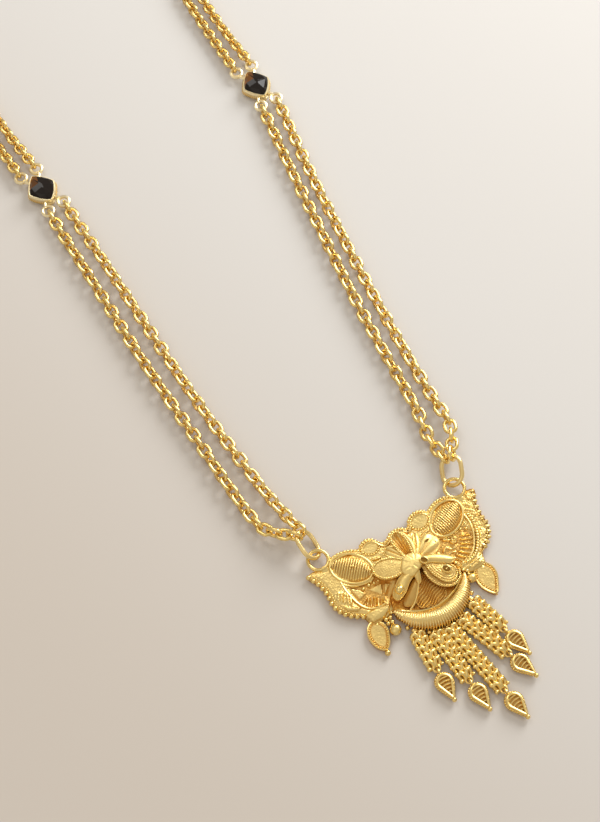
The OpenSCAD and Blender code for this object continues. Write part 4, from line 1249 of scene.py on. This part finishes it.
def build_flower():
    body, rims, deep, holes = Metalwork(), Metalwork(), Metalwork(), Metalwork()
    ropes = []
    for *petal, rope in PETALS:
        edge = add_petal(body, *petal)
        if rope:
            ropes.append((edge, True))
        else:
            rims.tube(edge, 0.11, 6, True)
    ropes.append((smooth_path(FLOWER_ROPE, 6), False))
    body.relief(smooth_path(HUB, 5, closed=True), 0.15, hub_height, floor=2.4)
    # Eyelets of the hood, eye of the big petal, eyelet by the middle, bead of the teardrop
    rims.tube(ellipse((4.2, -7.2), 0.6, 0.42, 10, 12, 3.66, 0.3, 3), 0.12, 6)
    rims.tube(ellipse((4.6, -13.3), 0.86, 0.66, -50, 20, 3.28), 0.17, 7, True)
    rims.ball((4.6, -13.3, 3.25), 0.26, 12)
    rims.tube(ellipse((1.7, -10.1), 0.78, 0.58, -50, 18, 4.1), 0.17, 7, True)
    rims.ball((-5, -12.7, 3.7), 0.9, 18)
    body.tube(smooth_path(FLOWER_WIRE, 4), 0.2, 8)
    # Deep places, in painted shade: the fan between flower and crescent, the crease by the middle,
    # the holes
    for petal in DEEP_PETALS:
        add_petal(deep, *petal)
    for at, depth, sides, scale, turn in HOLES:
        holes.lathe(at, [(1, 0), (1, depth)], sides, scale, turn)
    body.piece("pendant_flower", gold("Petal gold"), PENDANT, "satin_gold", 55)
    rims.piece("pendant_petal_rims", gold("Polished gold"), PENDANT, "polished_gold")
    deep.piece("pendant_fan", gold("Deep satin gold"), PENDANT, "satin_gold", 55)
    holes.piece("pendant_petal_hollows", gold("Hollow gold"), PENDANT, "satin_gold")
    lay_rope("pendant_petal_ropes", 0.00014, 0.0008, ropes)


def crescent_section(t):
    """Half width and height of the crescent at -1 to 1 along its arc."""
    full = 1 - abs(t) ** 2.4
    return 0.3 + (CRESCENT_HALF - 0.3) * full, 0.3 + (CRESCENT_RISE - 0.3) * full


def on_crescent(t, r, z):
    """A point at a share of the crescent's arc, from -1 to 1, and a distance from its centre."""
    c, s = cos_sin(t * CRESCENT_TURN - 90)
    return CRESCENT_AT[0] + r * c, CRESCENT_AT[1] + r * s, z


def above_floor(z):
    """Presses what would reach below the floor into the crescent's lowest half millimetre."""
    return 0.1 + 0.4 * (z + 0.6) / 1.1 if z < 0.5 else z


def build_crescent():
    body, wire = Metalwork(), Metalwork()
    rings, sides = 60, 20
    verts, depth = [], []
    for t in np.linspace(-1, 1, rings + 1):
        w, h = crescent_section(t)
        for b in around(sides):
            # The body stands flush with the ribs on top, more so on the left; where it sinks below
            # them, shade is painted on it
            flush = np.clip(0.4 + 0.9 * math.sin(b - 0.9 + 0.5 * t) - 0.5 * t, 0, 1)
            depth.append(1 - flush)
            r = CRESCENT_R + (0.85 + 0.13 * flush) * w * math.cos(b)
            z = CRESCENT_Z + (0.84 + 0.14 * flush) * h * math.sin(b)
            verts.append(on_crescent(t, r, above_floor(z)))
    body.add(verts, skin(rings + 1, sides), depth)
    body.piece("pendant_crescent", gold("Fine satin gold"), PENDANT, "satin_gold", 60)
    spots, turns, scales = [], [], []
    for t in middles(bpy.context.scene.necklace_pendant.crescent_ribs):
        out = (*cos_sin(t * CRESCENT_TURN - 90), 0)
        spots.append(on_crescent(t, CRESCENT_R, CRESCENT_Z))
        turns.append(axes_turn(out, (0, 0, 1), np.cross(out, (0, 0, 1))))
        scales.append((*crescent_section(t), 1.7))
    # The ribs take the lighter gold: painted highlight
    ribs = lay_ribs("pendant_crescent_ribs", (24, 6), "Bright gold", spots, turns, scales)
    for v in ribs.data.vertices:
        v.co.z = above_floor(v.co.z / MM) * MM
    hand_over(ribs, PENDANT)
    # A plain wire along the crescent's inner side
    wire.tube([on_crescent(t, CRESCENT_R - crescent_section(t)[0] - 0.12, 1.35)
               for t in np.linspace(-0.97, 0.97, 50)], 0.2, 8)
    wire.piece("pendant_crescent_wire", gold("Polished gold"), PENDANT, "polished_gold")


def build_leaves():
    body, rims = Metalwork(), Metalwork()
    grains = []
    for side, outline in zip((-1, 1), LEAVES):
        path = smooth_path(outline, 5, closed=True)
        # A leaf, with a band of painted shade just inside its rim
        body.relief(path, 0.15,
                    lambda x, y, d: 0.82 + 0.16 * np.clip((d - 0.2) / 0.2, 0, 1)
                    + 0.025 * grain_height(x, y, 0.5),
                    recess=lambda x, y, d: np.clip(1.5 - np.abs(d - 0.42) / 0.2, 0, 1))
        ring = np.column_stack([path, np.full(len(path), 0.9)])
        middle = ring.mean(0)
        rims.tube(middle + (ring - middle) * (0.95, 0.97, 1), 0.2, 7, True)
        grains.append((middle + (ring - middle) * (0.8, 0.86, 1) + (0, 0, 0.1), True))
        rims.tube([(side * 11.3, -15.8, 0.6), (side * 11.1, -14.4, 0.6)], 0.45, 8)
    rims.ball((-12.2, -21.1, 0.6), 0.56, 16)
    rims.ball((10.8, -21.3, 0.5), 0.2, 10)
    for x, y, r in SIDE_BALLS:
        body.ball((x, y, r), r, 20)
        rims.tube([(x, y + r * 0.7, 0.6), (x * 0.98, y + 3, 0.6)], 0.32, 8)
    for x, y, r in GRANULES:
        rims.ball((x, y, 1.25), r, 12)
    body.piece("pendant_leaves", gold("Fine satin gold"), PENDANT, "satin_gold", 55)
    rims.piece("pendant_leaf_rims", gold("Polished gold"), PENDANT, "polished_gold")
    string_beads("pendant_leaf_grain", 0.00016, 0.00046, 2, grains)


def build_loops():
    """Ear loops, and the row of loops that the tassels hang from."""
    body = Metalwork()
    for side in (-1, 1):
        x = side * EAR_SPAN / 2
        body.tube(ellipse((x, 0), EAR_MEAN_R, EAR_MEAN_R, 0, 40, EAR_Z), EAR_WIRE_R + 0.05, 10,
                  True)
        body.lathe((x - side * 0.2, -EAR_MEAN_R - 0.3, 0),
                   [(0.85, 0), (0.85, 1.1), (0.7, 1.4), (0.3, 1.5)], 16)
    for x, y, *_ in TASSELS:
        body.tube(ellipse((x, y), HANG_R, HANG_R, 0, 20, TASSEL_Z), HANG_WIRE_R + 0.07, 7, True)
        body.tube([(x, y + HANG_R, 0.75), (x * 0.9, y + 1.5, 0.8)], 0.4, 8)
    for degrees in CRESCENT_BALLS:
        t = (degrees + 90) / CRESCENT_TURN
        body.ball(on_crescent(t, CRESCENT_R + crescent_section(t)[0] + 0.2, 0.8), 0.45, 12)
    body.piece("pendant_loops", gold("Polished gold"), PENDANT, "polished_gold")


# ---- tassels -----------------------------------------------------------------------------------

def tassel_end(rows):
    return ROW_START + (rows - 1) * ROW_STEP + 1


def on_tassel(i, p):
    x, y, lean, _ = TASSELS[i]
    return turn_z(p, lean) + (x, y, TASSEL_Z)


def tassel_turn(i, *axes):
    return axes_turn(*(turn_z(axis, TASSELS[i][2]) for axis in axes))


def add_stand(work, i, y, wire):
    """A small ring that stands across a tassel at y."""
    work.tube([on_tassel(i, (0, y + STAND_R * math.cos(a), STAND_R * math.sin(a)))
               for a in around(18)], wire, 7, True, up=turn_z((1.0, 0, 0), TASSELS[i][2]))


def build_tassel(i):
    rows = TASSELS[i][3]
    node = f"tassel_chain_{i + 1}"
    spots, turns, small, small_turns = [], [], [], []
    solid, core = Metalwork(), Metalwork()
    for k in range(-1, rows):
        y = -ROW_START - max(k, HEAD_ROW) * ROW_STEP
        for side in (-1, 1):
            c, s = cos_sin(side * RING_TILT)
            flat, up = np.array([0, 1.0, 0]), np.array([s, 0, c])
            dip_c, dip_s = cos_sin(RING_DIP)
            spots.append(on_tassel(i, (side * 0.7, y, 0.05)))
            turns.append(tassel_turn(i, (c, 0, -s), flat * dip_c + up * dip_s,
                                     up * dip_c - flat * dip_s))
            if k < rows - 1:
                c, s = cos_sin(-50 * side)
                small.append(on_tassel(i, (side * 0.3, y - ROW_STEP / 2, -0.1)))
                small_turns.append(tassel_turn(i, (c, 0, -s), (0, 1, 0), (s, 0, c)))
            solid.ball(on_tassel(i, (side * 1.32, y - 0.62, 0.15)), 0.46 if side < 0 else 0.34, 12)
    # A core of darker gold under the links: painted shade that fills the holes of the weave
    for x in (-0.62, 0, 0.62):
        core.tube([on_tassel(i, (x, -0.3 - t * (rows * ROW_STEP + 0.57), -0.4))
                   for t in np.linspace(0, 1, 12)], 0.42, 8)
    core.piece(f"{node}_thread", gold("Thread gold"), [node], "chain_gold")
    add_stand(solid, i, -TASSEL_FIRST, 0.18)
    end = on_tassel(i, (0, -tassel_end(rows), 0))
    solid.tube(ellipse(end, HANG_R, HANG_R, 0, 20, TASSEL_Z), HANG_WIRE_R, 7, True)
    solid.piece(f"{node}_knobs", gold("Soft polished gold"), [node], "chain_gold")
    lay_links(f"{node}_rings", (0.0023, 0.0018, 0.0004), (16, 8), "Soft polished gold",
              spots, turns, node)
    lay_links(f"{node}_weave", (0.0015, 0.0012, 0.00028), (12, 6), "Soft polished gold",
              small, small_turns, node)


def drop_outline(inset, n=40):
    """A teardrop, round at the top and pointed at the foot, about its round end's middle."""
    r = DROP_W / 2 - inset
    foot = -DROP_LEN + DROP_W / 2 + 0.3
    small = max(0.3 - inset / 2, 0.06)
    lean = math.asin((r - small) / -foot)
    points = [(r * math.cos(a), r * math.sin(a))
              for a in np.linspace(-lean, math.pi + lean, n - 8)]
    points += [(small * math.cos(a), foot + small * math.sin(a))
               for a in np.linspace(math.pi + lean, TAU - lean, 8)]
    return points


def build_drop(i):
    node = f"tassel_drop_{i + 1}"
    start = -tassel_end(TASSELS[i][3]) - TASSEL_FIRST
    middle = start - STAND_R - DROP_W / 2 + 0.1
    foot = -DROP_LEN + DROP_W / 2

    def put(x, y, z=0.0):
        return on_tassel(i, (x, middle + y, z - TASSEL_Z + 0.45))

    def outline(inset, z=0.0):
        return [put(x, y, z) for x, y in drop_outline(inset)]

    body, rim = Metalwork(), Metalwork()
    # The drop's flat field, in light painted shade away from its edge
    body.relief(outline(0.1), 0.22, lambda x, y, d: np.full(len(x), 0.75), floor=0.3,
                recess=lambda x, y, d: 0.45 * (d > 0.3))
    body.tube(outline(0.25, 0.2), 0.25, 8, True, squash=1.6)
    body.piece(f"{node}_body", gold("Fine satin gold"), [node], "satin_gold")
    rim.tube(outline(0.36, 0.85), 0.24, 8, True)
    add_stand(rim, i, start, 0.2)
    rim.tube([put(0, foot + 0.5, 0.35), put(0, foot - DROP_TIP, 0.35)], 0.25, 8)
    rim.ball(put(0, foot - DROP_TIP, 0.35), DROP_BALL_R, 16)
    for k in range(5):
        y = 0.75 - k * 0.66
        w = DROP_W / 2 - 0.45 - max(0, -y) * 0.42
        rim.tube([put(w * t, y - 0.2 * t * t, 0.74 - 0.1 * t * t) for t in np.linspace(-1, 1, 7)],
                 0.19, 6)
    rim.piece(f"{node}_rim", gold("Soft polished gold"), [node], "satin_gold")
    lay_rope(f"{node}_rope", 0.00016, 0.0009, [(outline(0.05, 0.35), True)], [node])


# ---- chains ------------------------------------------------------------------------------------

def build_jump_ring(side):
    node = f"jump_ring_{WORDS[side]}"
    mean = JUMP_W / 2 - JUMP_WIRE_R
    half = (JUMP_LEN - JUMP_W) / 2
    path = [on_jump(side, (mean * math.cos(a), end * half + mean * math.sin(a), 0))
            for end, first in ((1, 0), (-1, math.pi))
            for a in np.linspace(first, first + math.pi, 22)]
    normal = on_jump(side, (0, 0, 1)) - on_jump(side, (0, 0, 0))
    body = Metalwork()
    body.tube(np.array(path) + (0, 0, 0.07), JUMP_WIRE_R + 0.08, 12, True, up=normal)
    # The wire takes the lighter gold: painted highlight
    body.piece(f"{node}_wire", gold("Bright gold"), [node], "polished_gold")


def jump_wire(side, fan):
    mean = JUMP_W / 2 - JUMP_WIRE_R
    c, s = cos_sin(fan)
    return on_jump(side, (side * mean * s, (JUMP_LEN - JUMP_W) / 2 + mean * c, 0))


def laid_roll(k, links, phase):
    """How far a link of a laid chain has rolled about the chain, none where it is held."""
    held = min(1, k / 8, (links - 1 - k) / 5)
    return held * math.radians(24 + 21 * math.sin(0.43 * k + phase) + 6 * math.sin(1.3 * k))


def lay_chain(node, stops, pitch, odd, first_up, phase, lift, size, detail):
    """Links along a route; the first ones turn over from first_up to the chain's lay."""
    route = smooth_path(stops)
    run = running(route)
    links = 2 * math.ceil(run[-1] / pitch / 2) + odd
    spots, turns = [], []
    for k in range(links):
        place, d = walk(route, run, run[-1] * k / (links - 1))
        f = min(1, k / 8)
        up = unit(np.multiply(first_up, 1 - f) + (0, 0, f))
        roll = laid_roll(k, links, phase)
        up = up * math.cos(roll) + np.cross(d, up) * math.sin(roll)
        spots.append(place + (0, 0, lift))
        turns.append(axes_turn(*upright(d, up if k % 2 else np.cross(d, up))))
    lay_links(f"{node}_links", size, detail, "Chain gold", spots, turns, node)


def build_front_chain(node):
    sizes = bpy.context.scene.necklace_chain
    side, across, fan, middle = FRONT[node]
    start = jump_wire(side, fan)
    along = unit(jump_wire(side, fan + 1) - jump_wire(side, fan - 1)) * side
    way = unit(np.array(middle[0]) - start)
    first = start + way * (LINK_INNER - JUMP_WIRE_R - 2 * WIRE_GAP)
    loop = on_setting(side, (across * LOOP_AT[0], -LOOP_AT[1], CHAIN_Z))
    last = loop - unit(loop - middle[-1]) * (LOOP_R + LINK_INNER - LOOP_WIRE_R - WIRE_GAP)
    lay_chain(node, [first, *middle, last], LINK_PITCH, 1, np.cross(along, way), fan, LINK_LIFT,
              (sizes.link_length, sizes.link_width, sizes.link_wire), (20, 7))


def build_back_chain(node):
    sizes = bpy.context.scene.necklace_chain
    side, across, off, line = BACK[node]
    middle = []
    for before, point, after in zip(line, line[1:], line[2:]):
        d = unit(np.subtract(after, before))
        q = np.array(point) + np.array([-d[1], d[0]]) * off * BACK_HALF_GAP
        middle.append((*q, BACK_Z))
    loop = on_setting(side, (across * LOOP_AT[0], LOOP_AT[1], CHAIN_Z))
    way = unit(np.array(middle[0]) - loop)
    first = loop + way * (LOOP_R + FINE_INNER - LOOP_WIRE_R - 0.05)
    last = (side * (END_RING_AT[0] + END_RING_R + FINE_INNER - END_RING_WIRE_R - 0.05),
            END_RING_AT[1],
            END_RING_R + END_RING_WIRE_R + (0.5 if node.endswith("outer") else -0.5))
    lay_chain(node, [first, *middle, last], FINE_PITCH, 0, (0, 0, 1), off + side, FINE_LIFT,
              (sizes.fine_length, sizes.fine_width, sizes.fine_wire), (14, 6))


# ---- stone stations ----------------------------------------------------------------------------

def rounded_rhomb(side, a, b, z, n=64, shift=0.0):
    """A level ring with the stone's outline, placed on a setting."""
    t = (np.arange(n) + shift) * TAU / n
    c, s = np.cos(t), np.sin(t)
    k = 2 / STONE_POWER
    return [on_setting(side, (x, y, z)) for x, y in zip(a * np.sign(c) * np.abs(c) ** k,
                                                        b * np.sign(s) * np.abs(s) ** k)]


def build_setting(side):
    a, b, node = STONE_W / 2, STONE_LEN / 2, f"setting_{WORDS[side]}"
    body = Metalwork()
    rings = [rounded_rhomb(side, a * share + more, b * share + more, z)
             for share, more, z in SETTING_PROFILE]
    body.add(np.concatenate(rings), skin(len(rings), 64, rising=True))
    for x in (-1, 1):
        for y in (-1, 1):
            at = on_setting(side, (x * LOOP_AT[0], y * LOOP_AT[1], CHAIN_Z))
            body.tube(ellipse(at, LOOP_SHOWN_R, LOOP_SHOWN_R, 0, 26, CHAIN_Z), LOOP_SHOWN_WIRE_R,
                      8, True)
            body.tube([on_setting(side, (x * u, y * v, CHAIN_Z)) for u, v in LOOP_STEM],
                      (0.3, 0.34, 0.36), 8)
    # A scroll of wire between the loops
    for y in (-1, 1):
        body.tube([on_setting(side, (x, y * (3.55 + 0.22 * math.cos(x * 3)), 0.9))
                   for x in np.linspace(-1.3, 1.3, 16)], 0.2, 7)
    body.piece(f"{node}_bezel", gold("Pale gold"), [node], "polished_gold", 35)
    ring = rounded_rhomb(side, a + SETTING_WALL, b + SETTING_WALL, 0.85)
    string_beads(f"{node}_grain", 0.00016, 0.00042, 1, [(ring, True)], [node])


def build_stone(side):
    """Pavilion, girdle, crown facets that meet on a ridge, and a small table."""
    a, b, n, m = STONE_W / 2, STONE_LEN / 2, 8, 16
    girdle = STONE_GIRDLE
    levels = [rounded_rhomb(side, *level) for level in (
        (a * 0.2, b * 0.2, 0.95, n), (a * 0.75, b * 0.75, 1.5, n),
        (a + 0.1, b + 0.1, girdle - 0.15, m), (a + 0.1, b + 0.1, girdle, m),
        (a * 0.82, b * 0.82, STONE_TOP - 0.35, n, 0.5), (a * 0.12, b * 0.3, STONE_TOP, n))]
    base = np.cumsum([0] + [len(level) for level in levels])
    faces = [tuple(range(n - 1, -1, -1))]
    faces += [(base[0] + k, base[0] + (k + 1) % n, base[1] + (k + 1) % n, base[1] + k)
              for k in range(n)]
    faces += [(base[1] + k, base[1] + (k + 1) % n, base[2] + (2 * k + 2) % m,
               base[2] + 2 * k + 1, base[2] + 2 * k) for k in range(n)]
    faces += [(base[2] + k, base[2] + (k + 1) % m, base[3] + (k + 1) % m, base[3] + k)
              for k in range(m)]
    for k in range(n):
        g0, g1, g2 = (base[3] + (2 * k + step) % m for step in range(3))
        mid, before = base[4] + k, base[4] + (k - 1) % n
        top, after = base[5] + k, base[5] + (k + 1) % n
        faces += [(g0, g1, mid), (g1, g2, mid), (mid, after, top), (before, g0, mid, top)]
    faces.append(tuple(base[5] + k for k in range(n)))
    stone, node = Metalwork(), f"stone_{WORDS[side]}"
    stone.add(np.concatenate(levels), faces)
    mesh = stone.piece(f"{node}_facets", black_stone(), [node], "black_stone", 1).data
    mesh.polygons.foreach_set("use_smooth", [False] * len(mesh.polygons))
    # The facets that face the glint's way are marked for it: a reflection painted in their colour
    glow = mesh.attributes.new("glow", "FLOAT", "FACE")
    toward = Vector((-0.35, 0.75, 0.55)).normalized()
    for p in mesh.polygons:
        lit = max(0.0, p.normal.dot(toward) - 0.76) / 0.14
        glow.data[p.index].value = min(1.0, lit) if p.center.z > girdle * MM else 0.0


# ---- clasp -------------------------------------------------------------------------------------

def build_clasp():
    z = END_RING_R + END_RING_WIRE_R
    for side in (-1, 1):
        node, ring = f"end_ring_{WORDS[side]}", Metalwork()
        ring.tube([(side * END_RING_AT[0] + END_RING_R * math.cos(a), END_RING_AT[1],
                    z + END_RING_R * math.sin(a)) for a in around(32)],
                  END_RING_WIRE_R, 10, True, up=(0, 1, 0))
        ring.piece(f"{node}_wire", gold("Polished gold"), [node], "polished_gold")
    hook = Metalwork()
    first = [(HOOK_R + HOOK_R * math.cos(a), HOOK_R * math.sin(a), 0)
             for a in np.linspace(math.radians(-50), math.pi, 30)]
    second = [(-x, -y, 0) for x, y, _ in first[::-1]][1:]
    line = np.array(first + second) + (0, END_RING_AT[1], z)
    k = np.arange(len(line))
    # Thinner towards both ends
    hook.tube(line, HOOK_WIRE_R * np.clip(np.minimum(k, k[::-1]) / 3 + 0.55, 0, 1), 12)
    hook.piece("clasp_hook_wire", gold("Polished gold"), ["clasp_hook"], "polished_gold")


# ---- operators ---------------------------------------------------------------------------------

class NECKLACE_OT_pendant_plate(Operator):
    """Wings, crest and land of the pendant, with their low relief"""
    bl_idname = "necklace.pendant_plate"
    bl_label = "Pendant plate"

    def execute(self, context):
        build_plate()
        return {"FINISHED"}


class NECKLACE_OT_pendant_ovals(Operator):
    """Ribbed big ovals and smooth small ovals"""
    bl_idname = "necklace.pendant_ovals"
    bl_label = "Pendant ovals"

    def execute(self, context):
        build_ovals()
        return {"FINISHED"}


class NECKLACE_OT_pendant_borders(Operator):
    """Rope, milgrain, field wires and edge beads"""
    bl_idname = "necklace.pendant_borders"
    bl_label = "Pendant borders"

    def execute(self, context):
        build_borders()
        return {"FINISHED"}


class NECKLACE_OT_flower(Operator):
    """Flower with its petals"""
    bl_idname = "necklace.flower"
    bl_label = "Flower"

    def execute(self, context):
        build_flower()
        return {"FINISHED"}


class NECKLACE_OT_crescent(Operator):
    """Finely ribbed crescent"""
    bl_idname = "necklace.crescent"
    bl_label = "Crescent"

    def execute(self, context):
        build_crescent()
        return {"FINISHED"}


class NECKLACE_OT_leaves(Operator):
    """Leaves, side balls and granules"""
    bl_idname = "necklace.leaves"
    bl_label = "Leaves and balls"

    def execute(self, context):
        build_leaves()
        return {"FINISHED"}


class NECKLACE_OT_loops(Operator):
    """Ear loops and the tassels' hanging loops"""
    bl_idname = "necklace.loops"
    bl_label = "Pendant loops"

    def execute(self, context):
        build_loops()
        return {"FINISHED"}


class NECKLACE_OT_tassels(Operator):
    """Woven tassel chains and their drops"""
    bl_idname = "necklace.tassels"
    bl_label = "Tassels"

    def execute(self, context):
        for i in range(len(TASSELS)):
            build_tassel(i)
            build_drop(i)
        return {"FINISHED"}


class NECKLACE_OT_front_chains(Operator):
    """Jump rings and the four front strands"""
    bl_idname = "necklace.front_chains"
    bl_label = "Front chains"

    def execute(self, context):
        for side in (-1, 1):
            build_jump_ring(side)
        for name in FRONT:
            build_front_chain(name)
        return {"FINISHED"}


class NECKLACE_OT_stations(Operator):
    """Settings and black stones"""
    bl_idname = "necklace.stations"
    bl_label = "Stone stations"

    def execute(self, context):
        for side in (-1, 1):
            build_setting(side)
            build_stone(side)
        return {"FINISHED"}


class NECKLACE_OT_back_chains(Operator):
    """Finer strands behind the stones"""
    bl_idname = "necklace.back_chains"
    bl_label = "Back chains"

    def execute(self, context):
        for name in BACK:
            build_back_chain(name)
        return {"FINISHED"}


class NECKLACE_OT_clasp(Operator):
    """End rings and hook"""
    bl_idname = "necklace.clasp"
    bl_label = "Clasp"

    def execute(self, context):
        build_clasp()
        return {"FINISHED"}


def add_floor(stage):
    mesh = bpy.data.meshes.new("floor")
    mesh.from_pydata([(-3, -3, 0), (3, -3, 0), (3, 3, 0), (-3, 3, 0)], [], [(0, 1, 2, 3)])
    floor = new_object("floor", mesh)
    material, tree, shader = new_material("Floor")
    # Lighter towards the key light and darker away from it: painted light and shade over the
    # floor's own colour
    across = add_node(tree, "ShaderNodeVectorMath",
                      [(0, object_place(tree)), (1, (0.96, 0.28, 0))],
                      operation="DOT_PRODUCT").outputs["Value"]
    share = add_node(tree, "ShaderNodeMapRange",
                     [("Value", across), ("From Min", -0.1), ("From Max", 0.02)],
                     interpolation_type="SMOOTHSTEP").outputs[0]
    wire_up(tree, shader, [
        ("Base Color", mixed(tree, share, (*stage.floor_with_painted_shade, 1), (*stage.floor_with_painted_light, 1))),
        ("Roughness", 0.75), ("Specular IOR Level", 0.25)])
    mesh.materials.append(material)


def add_lights(stage):
    target = Vector(LIGHTS_AIM)
    for name, off, size, power, colour in (("key", KEY_OFF, KEY_SIZE, stage.key_power, KEY_COLOUR),
                                           *SOFT_LIGHTS):
        light = bpy.data.lights.new(name, "AREA")
        light.shape = "DISK"
        light.size, light.energy, light.color = size, power, colour
        obj = new_object(name, light)
        obj.location = target + Vector(off)
        obj.rotation_euler = (-Vector(off)).to_track_quat("-Z", "Y").to_euler()


def add_sky(scene):
    scene.world = bpy.data.worlds.new("Studio")
    scene.world.use_nodes = True
    sky = scene.world.node_tree
    way = add_node(sky, "ShaderNodeSeparateXYZ",
                   [(0, add_node(sky, "ShaderNodeTexCoord").outputs["Generated"])])
    ramp = add_node(sky, "ShaderNodeValToRGB", [(0, way.outputs[2])])
    for stop, (position, colour) in zip(ramp.color_ramp.elements, SKY):
        stop.position, stop.color = position, colour
    wire_up(sky, sky.nodes["Background"], [(0, ramp.outputs[0]), (1, SKY_STRENGTH)])


def add_camera(scene):
    """The camera at the photograph's angle and frame."""
    stage = scene.necklace_stage
    camera = bpy.data.cameras.new("camera")
    camera.sensor_fit, camera.sensor_height = "VERTICAL", SENSOR_MM
    camera.lens = FOCAL_PIXELS / PHOTO_HEIGHT * SENSOR_MM
    camera.clip_start, camera.clip_end = 0.01, 20
    obj = new_object("camera", camera)
    a, e = stage.azimuth, stage.elevation
    way = Vector((math.sin(a) * math.cos(e), -math.cos(a) * math.cos(e), math.sin(e)))
    obj.location = Vector(LOOK_AT) + way * stage.distance
    obj.rotation_euler = (-way).to_track_quat("-Z", "Y").to_euler()
    scene.camera = obj


class NECKLACE_OT_stage(Operator):
    """Pale floor with painted light and shade across it, soft light and the camera"""
    bl_idname = "necklace.stage"
    bl_label = "Stage"

    def execute(self, context):
        scene = context.scene
        add_floor(scene.necklace_stage)
        add_lights(scene.necklace_stage)
        add_sky(scene)
        add_camera(scene)
        scene.view_settings.view_transform = "Standard"
        return {"FINISHED"}


class NECKLACE_PT_panel(Panel):
    """Lists the necklace's pieces and their sizes"""
    bl_idname = "NECKLACE_PT_panel"
    bl_label = "Necklace"
    bl_space_type = "VIEW_3D"
    bl_region_type = "UI"
    bl_category = "Necklace"

    def draw(self, context):
        for item in OPERATORS:
            self.layout.operator(item.bl_idname)
        scene = context.scene
        for group in (scene.necklace_chain, scene.necklace_pendant, scene.necklace_finish,
                      scene.necklace_stage):
            box = self.layout.box()
            for key in group.__annotations__:
                box.prop(group, key)


GROUPS = {
    "necklace_chain": NecklaceChainSizes,
    "necklace_pendant": NecklacePendantSizes,
    "necklace_finish": NecklaceFinish,
    "necklace_stage": NecklaceStage,
}
OPERATORS = (
    NECKLACE_OT_stage, NECKLACE_OT_pendant_plate, NECKLACE_OT_pendant_ovals,
    NECKLACE_OT_pendant_borders, NECKLACE_OT_flower, NECKLACE_OT_crescent, NECKLACE_OT_leaves,
    NECKLACE_OT_loops, NECKLACE_OT_tassels, NECKLACE_OT_front_chains, NECKLACE_OT_stations,
    NECKLACE_OT_back_chains, NECKLACE_OT_clasp,
)


def register():
    for item in (*GROUPS.values(), *OPERATORS, NECKLACE_PT_panel):
        bpy.utils.register_class(item)
    for name, group in GROUPS.items():
        setattr(bpy.types.Scene, name, PointerProperty(type=group))


def unregister():
    for name in GROUPS:
        delattr(bpy.types.Scene, name)
    for item in reversed((*GROUPS.values(), *OPERATORS, NECKLACE_PT_panel)):
        bpy.utils.unregister_class(item)


def main():
    register()
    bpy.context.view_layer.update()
    for item in OPERATORS:
        group, name = item.bl_idname.split(".")
        getattr(getattr(bpy.ops, group), name)()


if __name__ == "__main__":
    main()
